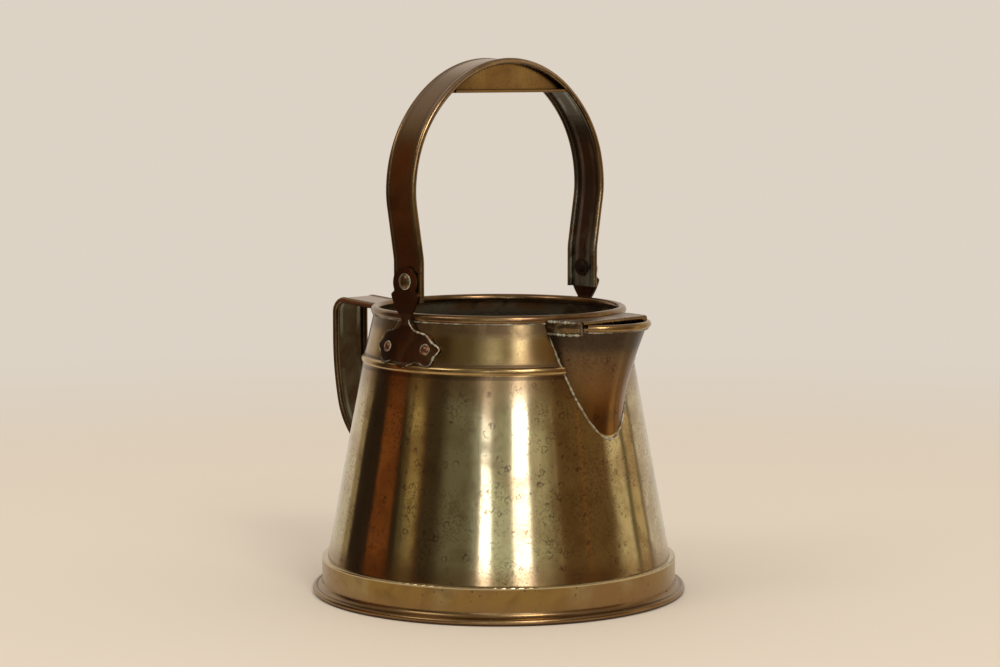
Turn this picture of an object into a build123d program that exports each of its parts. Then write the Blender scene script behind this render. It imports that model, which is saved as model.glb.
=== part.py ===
# Victorian hot water can in sheet brass, in millimetres.
# +X points out of the spout, -X to the back handle, the bail's pivots lie on +Y and -Y, +Z is up.
# The origin is the middle of the base, on the surface that the can stands on.
from math import acos, asin, atan, cos, degrees, radians, sin, sqrt, tan
import os

from build123d import *

os.makedirs("parts", exist_ok=True)

# Sheet and fits
sheet = 1.2              # wall of the can, the foot and the spout
solder_gap = 0.05        # film of solder between soldered sheets
wire_gap = 0.05          # round each wire inside its rolled edge
rivet_gap = 0.05         # round a rivet's shank in the sheets that it holds
pivot_gap = 0.06         # round the pivot's shank in the bail, which turns on it
turning_gap = 0.3        # between the ear and the bail's rolled edges

# Tapered body
body_low_height = 12.0
body_low_radius = 127.3
body_length = 154.7      # upright, to the joint where the collar sits
body_taper = 28.8        # radius lost over that length
joint_height = body_low_height + body_length
body_top_radius = body_low_radius - body_taper

# Base, let in above the foot
base_flange = 4.2        # turned down to the body's lower edge
base_height = body_low_height + base_flange

# Foot
foot_fit = 0.4           # between the foot's band and the body's lower edge
foot_band_radius = body_low_radius + foot_fit + sheet
foot_band_height = 25.6
foot_flare_radius = 4.0
foot_flare_height = 8.2
foot_roll_radius = 2.4
foot_flange = 0.7        # from the end of the flare to the middle of the roll
foot_wear = 0.3          # the roll's underside is worn flat by this much
foot_wire_radius = 1.6
foot_hem_radius = 1.1

# Collar
collar_length = 41.5     # upright, from the joint to the rim
collar_low_rise = 3.3    # the collar's straight side starts this far above the joint
collar_step = 0.5        # and this far inside the body's upper edge
collar_taper = 8.7       # radius lost from there to the rim
collar_low_height = joint_height + collar_low_rise
collar_low_radius = body_top_radius - collar_step
collar_top_height = joint_height + collar_length
collar_top_radius = collar_low_radius - collar_taper
bead_radius = 3.2        # swaged bead, whose underside is the collar's lower edge
bead_stand = 1.5         # out of the collar's side
bead_reach = collar_low_radius + bead_stand
collar_socket = 8.0      # length that goes down into the body
rim_roll_radius = 3.0
rim_roll_stand = 0.2     # middle of the roll, outside the collar's edge
rim_roll_centre = collar_top_radius + rim_roll_stand
rim_wire_radius = 2.1

# Pouring holes through the collar, behind the spout
pouring_hole_radius = 2.4
pouring_low_rise = 12.8  # the lowest row, above the joint
pouring_row_step = 8.5
pouring_row_counts = (5, 6, 7)
pouring_step_angle = 5.4

# Spout, a scoop of round plan
spout_drop = 46.2        # the toe, below the joint
spout_rim_drop = 7.9     # the lip, below the can's rim
spout_toe_height = joint_height - spout_drop
spout_rim_height = collar_top_height - spout_rim_drop
spout_half_angle = 25.6  # of the can's round, at the rim
spout_reach = 37.4       # the lip's distance from the collar
spout_side_power = 0.55  # how fast the seam spreads above the toe
spout_front_power = 1.45 # how fast the front leaves the can above the toe
spout_toe_drop = 5.0
spout_toe_sink = 1.0
spout_toe_radius = 45.0
spout_levels = (0.15, 0.35, 0.55, 0.78, 1.0)
spout_root_turn = 16.0   # each outline runs this much further round, into the can
spout_toe_turn = 26.0
spout_roll_radius = 2.5
spout_wire_radius = 1.6

# Bridge over the spout's root
bridge_length = 18.9     # out from the collar
bridge_skirt = 4.8       # below the lip's middle
bridge_rise = 4.7        # above it
bridge_low_height = spout_rim_height - bridge_skirt
bridge_top_height = spout_rim_height + bridge_rise
bridge_shoulder = 2.0
bridge_roll_radius = 1.8

# Pivots and ears
pivot_rise = 22.3        # above the can's rim
ear_thickness = 1.8
ear_rim_gap = 1.9        # between the ear and the rim's roll
ear_foot_drop = 8.7      # the ear leaves the collar this far below the rim
ear_straight_rise = 0.3  # and stands upright from this far above it
ear_head_radius = 11.4
ear_head_drop = 1.1      # the middle of the round head, below the pivot
pivot_height = collar_top_height + pivot_rise
ear_outer = rim_roll_centre + rim_roll_radius + ear_rim_gap + ear_thickness
ear_foot_height = collar_top_height - ear_foot_drop
ear_straight_height = collar_top_height + ear_straight_rise
ear_head_height = pivot_height - ear_head_drop
ear_shell_turn = 50.0

# Points of one half of the ear's outline, from the middle of its leaf: sideways, then upwards
ear_leaf_rise = 17.3     # above the joint
ear_leaf_height = joint_height + ear_leaf_rise
ear_bottom = (0.0, -13.6)
ear_pendant = (5.5, -11.4)
ear_valley = (12.0, -9.2)
ear_low_corner = (21.5, -11.4)
ear_low_bow = (25.4, -5.2)
ear_tip_low = (29.0, -0.6)
ear_tip = (29.7, 0.6)
ear_tip_high = (29.0, 1.8)
ear_high_bow = (24.6, 4.8)
ear_high_corner = (20.6, 9.4)
ear_leaf_top = (17.4, 10.9)
ear_neck_low = (9.8, 12.8)
ear_waist = (4.9, 20.3)
ear_neck_high = (8.4, -18.8)   # these two from the middle of the head
ear_shoulder = (13.2, -8.6)
ear_notch_drop = 5.4      # below the middle of the head
ear_corner_dip = 0.35     # slope of the outline at the leaf's low corners
ear_notch_rise = 0.8      # slope of the outline where it meets the head

# Rivets
small_shank_radius = 1.5
small_head_radius = 3.5
small_head_height = 1.7
rove_radius = 3.0
rove_thickness = 0.8
burr_radius = 2.2
burr_height = 0.8
ear_rivet_spread = 18.0
ear_rivet_drop = 0.6     # below the middle of the leaf
ear_rivet_height = ear_leaf_height - ear_rivet_drop
pivot_shank_radius = 3.0
pivot_head_radius = 5.3
pivot_head_height = 2.2
washer_radius = 6.25
washer_thickness = 1.3
washer_gap = 0.1
small_drill_reach = 6.0  # small holes are cut this far to both sides of the can's skin
pivot_burr_radius = 4.2
pivot_burr_height = 1.0

# Bail
bail_width = 28.0
bail_sheet = 1.6
bail_roll_radius = 2.3
bail_roll_raise = 0.6    # the rolls stand this much out of the outer face
bail_wire_radius = 1.45
bail_end_drop = 14.5     # the strap's ends, below the pivot
bail_swell = 7.45        # the bail is this much wider than its legs, on each side
bail_crown_ease = 4.45   # the crown's radius, over half of the bail's greatest width
bail_crown_rise = 49.5   # the middle of the crown's arc, above the pivot
bail_crown_angle = 52.0  # half of the crown arc
bail_lean = 10.0
bail_lean_radius = 60.0
bail_bend_radius = 30.0
bail_leg = ear_outer - ear_thickness - turning_gap - bail_roll_raise
bail_half_width = bail_leg + bail_swell
bail_crown_radius = bail_half_width + bail_crown_ease
bail_end_height = pivot_height - bail_end_drop
bail_crown_height = pivot_height + bail_crown_rise

# Grip, a box under the bail's crown
grip_depth = 24.2        # the floor's underside, below the top of the bail
grip_inset = 2.0         # the floor's edges, inside the bail's
grip_floor_sheet = 1.2
grip_floor_height = bail_crown_height + bail_crown_radius - grip_depth
grip_floor_width = bail_width - 2 * grip_inset
grip_edge_radius = 1.2
grip_web_sheet = 1.0
grip_web_spacing = 15.0  # between the webs' inner faces

# Back handle
handle_width = 35.0
handle_sheet = 1.5
handle_roll_radius = 2.4
handle_roll_raise = 0.6
handle_wire_radius = 1.5
handle_stand = 57.9      # outer face of the upright leg, out from the bead
handle_root_drop = 7.2   # the root, below the can's rim
handle_slope = 4.3
handle_corner_radius = 11.4
handle_upright_drop = 26.0   # the upright's lower end, below the root
handle_belly_radius = 230.0
handle_belly_angle = 12.0
handle_curl_radius = 55.0
handle_curl_angle = 55.0
handle_tail_sink = 2.55   # the straight end's length inside the body's line, cut off there
handle_pad_width = 30.0
handle_top_pad_rise = 16.8   # the upper pad's lower edge, above the joint
handle_top_pad_length = 16.5
handle_low_pad_drop = 24.4   # the lower pad's lower edge, below the strap's place on the body
handle_low_pad_length = 28.0
handle_rivet_spread = 8.0
handle_top_rivet_rise = 7.0  # above the upper pad's lower edge
handle_low_rivet_rise = 11.0 # above the lower pad's lower edge
handle_reach = bead_reach + handle_stand
handle_root_height = collar_top_height - handle_root_drop
handle_upright_height = handle_root_height - handle_upright_drop
handle_top_pad_height = joint_height + handle_top_pad_rise
handle_top_rivet_height = handle_top_pad_height + handle_top_rivet_rise


# The can's outer skin: two cones that everything else is fitted to
def body_radius(height):
    rise = (height - body_low_height) / (joint_height - body_low_height)
    return body_low_radius + (body_top_radius - body_low_radius) * rise


def collar_radius(height):
    rise = (height - collar_low_height) / (collar_top_height - collar_low_height)
    return collar_low_radius + (collar_top_radius - collar_low_radius) * rise


def can_radius(height):
    return body_radius(height) if height < joint_height else collar_radius(height)


body_slope = (body_low_radius - body_top_radius) / (joint_height - body_low_height)
collar_slope = (collar_low_radius - collar_top_radius) / (collar_top_height - collar_low_height)
rim_roll_height = collar_top_height - rim_roll_radius
bead_centre = bead_reach - bead_radius
bead_height = joint_height + bead_radius
foot_roll_centre = foot_band_radius + foot_flare_radius + foot_flange
foot_roll_height = foot_roll_radius - foot_wear
cut_margin = 40.0        # cutting shapes reach this far past what they cut


# Outline of a cone's wall between two heights, inset from an outer radius that depends on height
def band_outline(outer, low, high, inset, thickness):
    Polyline(
        (outer(low) - inset, low),
        (outer(high) - inset, high),
        (outer(high) - inset - thickness, high),
        (outer(low) - inset - thickness, low),
        close=True,
    )


# Half outline of the whole can above the foot, grown by a clearance, from the axis outwards
def skin_outline(grow):
    Polyline(
        (0, foot_band_height),
        (body_radius(foot_band_height) + grow, foot_band_height),
        (body_radius(joint_height) + grow, joint_height),
        (collar_radius(joint_height) + grow, joint_height),
        (collar_radius(rim_roll_height) + grow, rim_roll_height),
        (0, rim_roll_height),
        close=True,
    )


# Takes the can's filled-in shape, with its bead and its rim, out of the part that is being made
def cut_away_can(grow):
    with BuildSketch(Plane.XZ) as skin:
        with BuildLine():
            skin_outline(grow)
        make_face()
        with Locations((bead_centre, bead_height)):
            Circle(bead_radius + grow)
        with Locations((rim_roll_centre, rim_roll_height)):
            Circle(rim_roll_radius + grow)
    revolve(skin.sketch, axis=Axis.Z, mode=Mode.SUBTRACT)


# Upright plane through the can's axis, with its x direction turned round from the spout
def upright_plane(turn):
    across = Vector(cos(radians(turn)), sin(radians(turn)), 0)
    return Plane(origin=(0, 0, 0), x_dir=across, z_dir=across.cross(Vector(0, 0, 1)))


# The next straight run of a route, which carries on from the run before it
def run_on(before, length):
    return Line(before @ 1, before @ 1 + (before % 1) * length)


# The next arc of a route: positive turns go to the left
def turn_on(before, radius, turn):
    return JernArc(before @ 1, before % 1, radius, turn)


# Back handle's route along its outer face: out from the collar, round the corner, down and in, to
# a straight end that runs on into the body's line
handle_root_reach = collar_radius(handle_root_height) - sheet
corner_reach = handle_corner_radius * (1 + sin(radians(handle_slope)))
handle_top_run = (handle_reach - corner_reach - handle_root_reach) / cos(radians(handle_slope))
with BuildLine(Plane.XZ) as handle_route:
    top_leg = PolarLine((-handle_root_reach, handle_root_height), handle_top_run, 180 - handle_slope)
    corner = turn_on(top_leg, handle_corner_radius, 90 + handle_slope)
    upright = Line(corner @ 1, (-handle_reach, handle_upright_height))
    belly = turn_on(upright, handle_belly_radius, handle_belly_angle)
    curl = turn_on(belly, handle_curl_radius, handle_curl_angle - handle_belly_angle)
    curl_end = curl @ 1
    curl_way = curl % 1
    curl_gap = -curl_end.X - body_radius(curl_end.Z)
    handle_tail = curl_gap / (curl_way.X - body_slope * curl_way.Z)
    tail = run_on(curl, handle_tail + handle_tail_sink)
handle_foot_height = curl_end.Z + curl_way.Z * handle_tail
handle_low_pad_height = handle_foot_height - handle_low_pad_drop
handle_low_rivet_height = handle_low_pad_height + handle_low_rivet_rise

# Faces of the can, as turns from the spout, and the small rivets' places on them
near_face = -90.0
far_face = 90.0
back_face = 180.0


# Plane on the can's sloping skin, outwards, at a sideways distance from a face's middle
def skin_plane(height, spread, face):
    slope = body_slope if height < joint_height else collar_slope
    radius = can_radius(height)
    turn = radians(face + degrees(asin(spread / radius)))
    foot = Vector(radius * cos(turn), radius * sin(turn), height)
    return Plane(origin=foot, z_dir=Vector(cos(turn), sin(turn), slope))


ear_rivet_planes = [
    skin_plane(ear_rivet_height, side * ear_rivet_spread, face)
    for face in (near_face, far_face)
    for side in (-1, 1)
]
handle_top_planes = [
    skin_plane(handle_top_rivet_height, side * handle_rivet_spread, back_face) for side in (-1, 1)
]
handle_low_planes = [
    skin_plane(handle_low_rivet_height, side * handle_rivet_spread, back_face) for side in (-1, 1)
]


# Holes for small rivets, right through the sheets at each place
def drill_small_holes(planes):
    for place in planes:
        with BuildSketch(place) as hole:
            Circle(small_shank_radius + rivet_gap)
        extrude(hole.sketch, amount=small_drill_reach, both=True, mode=Mode.SUBTRACT)


# Body: a tapered sheet, open at both ends, drilled for the back handle's lower rivets
with BuildPart() as body_cone:
    with BuildSketch(Plane.XZ):
        with BuildLine():
            band_outline(body_radius, body_low_height, joint_height, 0, sheet)
        make_face()
    revolve(axis=Axis.Z)
    drill_small_holes(handle_low_planes)

# Base: a disc with a flange turned down inside the body's lower edge
with BuildPart() as base_plate:
    with BuildSketch(Plane.XZ):
        with BuildLine():
            band_outline(body_radius, base_height - base_flange, base_height, sheet + solder_gap, sheet)
        make_face()
        base_edge = body_radius(base_height) - sheet - solder_gap
        with BuildLine():
            Polyline(
                (0, base_height),
                (base_edge, base_height),
                (base_edge - sheet / 2, base_height - sheet),
                (0, base_height - sheet),
                close=True,
            )
        make_face()
    revolve(axis=Axis.Z)

# Foot: an upright band round the body, flared to a rolled edge below and turned in to the body above
hem_height = foot_band_height - foot_hem_radius
hem_centre = foot_band_radius - foot_hem_radius
ledge_height = foot_band_height - sheet
flare_centre = foot_band_radius + foot_flare_radius
flare_low = foot_flare_height - foot_flare_radius
with BuildPart() as foot_skirt:
    with BuildSketch(Plane.XZ):
        with BuildLine():
            Polyline(
                (foot_band_radius - sheet, foot_flare_height),
                (foot_band_radius - sheet, hem_height),
                (foot_band_radius, hem_height),
                (foot_band_radius, foot_flare_height),
            )
            ThreePointArc(
                (foot_band_radius, foot_flare_height),
                (
                    flare_centre - foot_flare_radius * sqrt(0.5),
                    foot_flare_height - foot_flare_radius * sqrt(0.5),
                ),
                (flare_centre, flare_low),
            )
            Polyline(
                (flare_centre, flare_low),
                (foot_roll_centre, flare_low),
                (foot_roll_centre, flare_low - sheet),
                (flare_centre, flare_low - sheet),
            )
            ThreePointArc(
                (flare_centre, flare_low - sheet),
                (
                    flare_centre - (foot_flare_radius + sheet) * sqrt(0.5),
                    foot_flare_height - (foot_flare_radius + sheet) * sqrt(0.5),
                ),
                (foot_band_radius - sheet, foot_flare_height),
            )
        make_face()
        with Locations((hem_centre, hem_height)):
            Circle(foot_hem_radius)
        with BuildLine():
            Polyline(
                (hem_centre, foot_band_height),
                (body_radius(foot_band_height) + solder_gap, foot_band_height),
                (body_radius(ledge_height) + solder_gap, ledge_height),
                (hem_centre, ledge_height),
                close=True,
            )
        make_face()
        with Locations((foot_roll_centre, foot_roll_height)):
            Circle(foot_roll_radius)
            Circle(foot_wire_radius + wire_gap, mode=Mode.SUBTRACT)
        with Locations((foot_roll_centre, -foot_roll_radius)):
            Rectangle(4 * foot_roll_radius, 2 * foot_roll_radius, mode=Mode.SUBTRACT)
    revolve(axis=Axis.Z)

# Wire inside the foot's rolled edge
with BuildPart() as foot_wire:
    with BuildSketch(Plane.XZ):
        with Locations((foot_roll_centre, foot_roll_height)):
            Circle(foot_wire_radius)
    revolve(axis=Axis.Z)

# Collar: socket, bead, sloping band and rolled rim, pierced behind the spout
shelf_inner = body_radius(joint_height) - 2 * sheet - solder_gap
shelf_outer = collar_radius(joint_height) - sheet / 2
with BuildPart() as collar:
    with BuildSketch(Plane.XZ):
        with BuildLine():
            band_outline(collar_radius, joint_height, rim_roll_height, 0, sheet)
        make_face()
        with Locations((bead_centre, bead_height)):
            Circle(bead_radius)
        with BuildLine():
            Polyline(
                (0, joint_height),
                (collar_radius(joint_height) - sheet, joint_height),
                (collar_radius(rim_roll_height) - sheet, rim_roll_height),
                (0, rim_roll_height),
                close=True,
            )
        make_face(mode=Mode.SUBTRACT)
        with Locations((bead_centre, bead_height)):
            Circle(bead_radius - sheet, mode=Mode.SUBTRACT)
        with BuildLine():
            band_outline(
                body_radius, joint_height - collar_socket, joint_height, sheet + solder_gap, sheet
            )
        make_face()
        with Locations(((shelf_inner + shelf_outer) / 2, joint_height + sheet / 2)):
            Rectangle(shelf_outer - shelf_inner, sheet)
        with Locations((rim_roll_centre, rim_roll_height)):
            Circle(rim_roll_radius)
            Circle(rim_wire_radius + wire_gap, mode=Mode.SUBTRACT)
    revolve(axis=Axis.Z)
    for row, row_count in enumerate(pouring_row_counts):
        row_height = joint_height + pouring_low_rise + row * pouring_row_step
        for place in range(row_count):
            turn = radians((place - (row_count - 1) / 2) * pouring_step_angle)
            outward = Vector(cos(turn), sin(turn), 0)
            middle = outward * collar_radius(row_height) + Vector(0, 0, row_height)
            with BuildSketch(Plane(origin=middle, z_dir=outward)):
                Circle(pouring_hole_radius)
            extrude(amount=4 * sheet, both=True, mode=Mode.SUBTRACT)
    drill_small_holes(ear_rivet_planes + handle_top_planes)

# Wire inside the rolled rim
with BuildPart() as rim_wire:
    with BuildSketch(Plane.XZ):
        with Locations((rim_roll_centre, rim_roll_height)):
            Circle(rim_wire_radius)
    revolve(axis=Axis.Z)


# Height, centre and radius of the spout's round section, and the turn at which it meets the can.
# The level is 0 at the toe and 1 at the lip.
def spout_circle(level):
    height = spout_toe_height + level * (spout_rim_height - spout_toe_height)
    skin = can_radius(height)
    half_turn = radians(spout_half_angle * level**spout_side_power)
    root_x = skin * cos(half_turn)
    root_y = skin * sin(half_turn)
    depth = skin + spout_reach * level**spout_front_power - root_x
    radius = (root_y**2 + depth**2) / (2 * depth)
    centre = root_x + depth - radius
    root_turn = degrees(acos((root_x - centre) / radius))
    return height, centre, radius, root_turn


# Two arcs that meet at the front, closed by a chord inside the can
def scoop_outline(centre, radius, half_turn):
    edge_x = centre + radius * cos(radians(half_turn))
    edge_y = radius * sin(radians(half_turn))
    mid_x = centre + radius * cos(radians(half_turn / 2))
    mid_y = radius * sin(radians(half_turn / 2))
    front = (centre + radius, 0)
    ThreePointArc((edge_x, -edge_y), (mid_x, -mid_y), front)
    ThreePointArc(front, (mid_x, mid_y), (edge_x, edge_y))
    Line((edge_x, edge_y), (edge_x, -edge_y))


# One section of the spout, drawn at its own height
def scoop_section(height, centre, radius, half_turn):
    with BuildSketch(Plane.XY.offset(height)) as section:
        with BuildLine():
            scoop_outline(centre, radius, half_turn)
        make_face()
    return section.sketch


# The spout's sections from the toe to the lip, each smaller by the inset
def spout_sections(inset):
    toe_height = spout_toe_height - spout_toe_drop
    toe_centre = can_radius(toe_height) - spout_toe_sink - spout_toe_radius
    sections = [scoop_section(toe_height, toe_centre, spout_toe_radius - inset, spout_toe_turn)]
    for level in spout_levels:
        height, centre, radius, root_turn = spout_circle(level)
        sections.append(scoop_section(height, centre, radius - inset, root_turn + spout_root_turn))
    return sections


lip_height, lip_centre, lip_radius, lip_turn = spout_circle(1.0)
bridge_front = can_radius(lip_height) + bridge_length
roll_start = bridge_front + bridge_roll_radius + solder_gap
roll_turn = degrees(acos((roll_start - lip_centre) / (lip_radius - spout_roll_radius)))


# A round bar along the lip, from the bridge's front edge on one side to the other
def lip_bar(radius, mode):
    with BuildLine(Plane.XY.offset(lip_height)) as lip:
        CenterArc((lip_centre, 0), lip_radius, -roll_turn, 2 * roll_turn)
    with BuildSketch(Plane(origin=lip.line @ 0, z_dir=lip.line % 0)) as end:
        Circle(radius)
    sweep(end.sketch, path=lip.line, mode=mode)


with BuildPart() as spout:
    loft(spout_sections(0))
    loft(spout_sections(sheet), mode=Mode.SUBTRACT)
    lip_bar(spout_roll_radius, Mode.ADD)
    lip_bar(spout_wire_radius + wire_gap, Mode.SUBTRACT)
    cut_away_can(solder_gap)

# Wire inside the lip's rolled edge
with BuildPart() as spout_rim_wire:
    lip_bar(spout_wire_radius, Mode.ADD)


# The spout's round at a height, grown outwards
def bridge_section(height, grow):
    level = (min(height, lip_height) - spout_toe_height) / (lip_height - spout_toe_height)
    level_height, centre, radius, root_turn = spout_circle(level)
    return scoop_section(height, centre, radius + grow, root_turn + spout_root_turn)


# Bridge: a folded plate over the spout's root, with a rolled front edge
front_half = sqrt(lip_radius**2 - (bridge_front - lip_centre) ** 2)
with BuildPart() as spout_bridge:
    bridge_heights = (bridge_low_height, lip_height, bridge_top_height)
    loft([bridge_section(height, sheet + solder_gap) for height in bridge_heights], ruled=True)
    shoulder_edges = edges().filter_by(GeomType.CIRCLE).group_by(Axis.Z)[-1]
    fillet(shoulder_edges, bridge_shoulder)
    loft(spout_sections(-solder_gap), mode=Mode.SUBTRACT)
    lip_room = bridge_top_height - sheet - lip_height
    extrude(bridge_section(lip_height, solder_gap), amount=lip_room, mode=Mode.SUBTRACT)
    with BuildSketch(Plane.XY.offset(bridge_low_height)):
        with Locations((bridge_front + cut_margin, 0)):
            Rectangle(2 * cut_margin, 4 * cut_margin)
    extrude(amount=cut_margin, mode=Mode.SUBTRACT)
    with BuildSketch(Plane.XZ):
        with Locations((bridge_front, bridge_top_height - bridge_roll_radius)):
            Circle(bridge_roll_radius)
    extrude(amount=front_half, both=True)
    cut_away_can(solder_gap)


# One half of an ear's front outline, from the bottom point up to the top of its round head
def ear_half_outline(side):
    head_rise = ear_head_height - ear_leaf_height

    def at(point, rise=0):
        return (side * point[0], point[1] + rise)

    notch = (sqrt(ear_head_radius**2 - ear_notch_drop**2), head_rise - ear_notch_drop)
    head_mid = (ear_head_radius * sqrt(0.5), head_rise + ear_head_radius * sqrt(0.5))
    Spline(
        at(ear_bottom),
        at(ear_pendant),
        at(ear_valley),
        at(ear_low_corner),
        tangents=((side, 0), (side, -ear_corner_dip)),
    )
    ThreePointArc(at(ear_low_corner), at(ear_low_bow), at(ear_tip_low))
    ThreePointArc(at(ear_tip_low), at(ear_tip), at(ear_tip_high))
    ThreePointArc(at(ear_tip_high), at(ear_high_bow), at(ear_high_corner))
    Line(at(ear_high_corner), at(ear_leaf_top))
    Spline(
        at(ear_leaf_top),
        at(ear_neck_low),
        at(ear_waist),
        at(ear_neck_high, head_rise),
        at(ear_shoulder, head_rise),
        at(notch),
        tangents=((-side, 0), (-side, ear_notch_rise)),
    )
    ThreePointArc(at(notch), at(head_mid), (0, head_rise + ear_head_radius))


# An ear: a leaf on the collar and its bead, joined to a plate that leans out over the rim, then stands
ear_inner = ear_outer - ear_thickness
ear_foot_radius = collar_radius(ear_foot_height) + solder_gap
ear_lean = atan((ear_inner - ear_foot_radius) / (ear_straight_height - ear_foot_height))
ear_front_plane = Plane(origin=(0, 0, ear_leaf_height), x_dir=(1, 0, 0), z_dir=(0, -1, 0))


def make_ear(side):
    skin_inset = -ear_thickness - solder_gap
    shell_high = ear_foot_height + sheet / 2
    plate_top = ear_head_height + ear_head_radius + sheet
    with BuildSketch(upright_plane(side * far_face - ear_shell_turn / 2)) as shell:
        with BuildLine():
            band_outline(collar_radius, bead_height, shell_high, skin_inset, ear_thickness + sheet)
        make_face()
        with Locations((bead_centre, bead_height)):
            Circle(bead_radius + solder_gap + ear_thickness)
    revolve(shell.sketch, axis=Axis.Z, revolution_arc=ear_shell_turn)
    with BuildSketch(upright_plane(side * far_face)) as plate:
        with BuildLine():
            Polyline(
                (ear_foot_radius, ear_foot_height),
                (ear_inner, ear_straight_height),
                (ear_inner, plate_top),
                (ear_outer, plate_top),
                (ear_outer, ear_straight_height - ear_thickness * tan(ear_lean / 2)),
                (ear_foot_radius + ear_thickness / cos(ear_lean), ear_foot_height),
                close=True,
            )
        make_face()
    extrude(plate.sketch, amount=ear_tip_low[0], both=True)
    with BuildSketch(ear_front_plane) as front:
        with BuildLine():
            ear_half_outline(1)
            ear_half_outline(-1)
        make_face()
    extrude(front.sketch, amount=-side * 3 * cut_margin, mode=Mode.INTERSECT)
    cut_away_can(solder_gap)
    with BuildSketch(Plane.XZ) as hole:
        with Locations((0, pivot_height)):
            Circle(pivot_shank_radius + rivet_gap)
    extrude(hole.sketch, amount=-side * 3 * cut_margin, mode=Mode.SUBTRACT)
    drill_small_holes(ear_rivet_planes)


with BuildPart() as ear_near:
    make_ear(-1)

with BuildPart() as ear_far:
    make_ear(1)


# Half outline of a rivet along its length: domed head, shank, and a tail hammered to a low dome
def rivet_outline(head_radius, head_height, shank_radius, head_seat, tail_seat, tail_radius, tail_height):
    head_sphere = (head_radius**2 + head_height**2) / (2 * head_height)
    tail_sphere = (tail_radius**2 + tail_height**2) / (2 * tail_height)
    head_half = asin(head_radius / head_sphere) / 2
    tail_half = asin(tail_radius / tail_sphere) / 2
    head_top = head_seat + head_height
    tail_end = tail_seat - tail_height
    ThreePointArc(
        (0, head_top),
        (head_sphere * sin(head_half), head_top - head_sphere * (1 - cos(head_half))),
        (head_radius, head_seat),
    )
    Polyline(
        (head_radius, head_seat),
        (shank_radius, head_seat),
        (shank_radius, tail_seat),
        (tail_radius, tail_seat),
    )
    ThreePointArc(
        (tail_radius, tail_seat),
        (tail_sphere * sin(tail_half), tail_end + tail_sphere * (1 - cos(tail_half))),
        (0, tail_end),
    )
    Line((0, tail_end), (0, head_top))


# Plane that holds a rivet's length: its y direction is the given plane's outward direction
def length_plane(place):
    return Plane(origin=place.origin, x_dir=place.x_dir, z_dir=place.x_dir.cross(place.z_dir))


rove_seat = -sheet - rivet_gap


# Small rivets through a plate of the given thickness, closed over a rove inside the can
def make_small_rivets(planes, plate):
    for place in planes:
        with BuildSketch(length_plane(place)) as profile:
            with BuildLine():
                rivet_outline(
                    small_head_radius,
                    small_head_height,
                    small_shank_radius,
                    plate + solder_gap,
                    rove_seat - rove_thickness,
                    burr_radius,
                    burr_height,
                )
            make_face()
        revolve(profile.sketch, axis=Axis(place.origin, place.z_dir))


with BuildPart() as ear_rivets:
    make_small_rivets(ear_rivet_planes, ear_thickness)

with BuildPart() as handle_rivets:
    make_small_rivets(handle_top_planes + handle_low_planes, handle_sheet)

# Roves: small rings that the rivets' tails are closed over, inside the can
with BuildPart() as rivet_roves:
    for place in ear_rivet_planes + handle_top_planes + handle_low_planes:
        with BuildSketch(place.offset(rove_seat - rove_thickness)):
            Circle(rove_radius)
            Circle(small_shank_radius + rivet_gap, mode=Mode.SUBTRACT)
        extrude(amount=rove_thickness)

# Pivots: a rivet fixed in each ear, which the bail turns on, closed over a washer inside
washer_seat = bail_leg - bail_sheet - washer_gap
pivot_planes = [
    Plane(origin=(0, 0, pivot_height), x_dir=(1, 0, 0), z_dir=(0, side, 0)) for side in (-1, 1)
]
with BuildPart() as pivot_rivets:
    for place in pivot_planes:
        with BuildSketch(length_plane(place)):
            with BuildLine():
                rivet_outline(
                    pivot_head_radius,
                    pivot_head_height,
                    pivot_shank_radius,
                    ear_outer,
                    washer_seat - washer_thickness,
                    pivot_burr_radius,
                    pivot_burr_height,
                )
            make_face()
        revolve(axis=Axis(place.origin, place.z_dir))

with BuildPart() as pivot_washers:
    for place in pivot_planes:
        with BuildSketch(place.offset(washer_seat - washer_thickness)):
            Circle(washer_radius)
            Circle(pivot_shank_radius + rivet_gap, mode=Mode.SUBTRACT)
        extrude(amount=washer_thickness)


# A strap's section, outer face at y = 0 and outwards is +y: a sheet with both edges rolled round wires
def strap_section(width, thickness, roll_radius, roll_raise, bore):
    roll_x = width / 2 - roll_radius
    roll_y = roll_raise - roll_radius
    with Locations((0, -thickness / 2)):
        Rectangle(2 * roll_x, thickness)
    with Locations((-roll_x, roll_y), (roll_x, roll_y)):
        Circle(roll_radius)
        Circle(bore, mode=Mode.SUBTRACT)


# The section of one wire of a strap
def strap_wire(width, roll_radius, roll_raise, wire, side):
    with Locations((side * (width / 2 - roll_radius), roll_raise - roll_radius)):
        Circle(wire)


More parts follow.
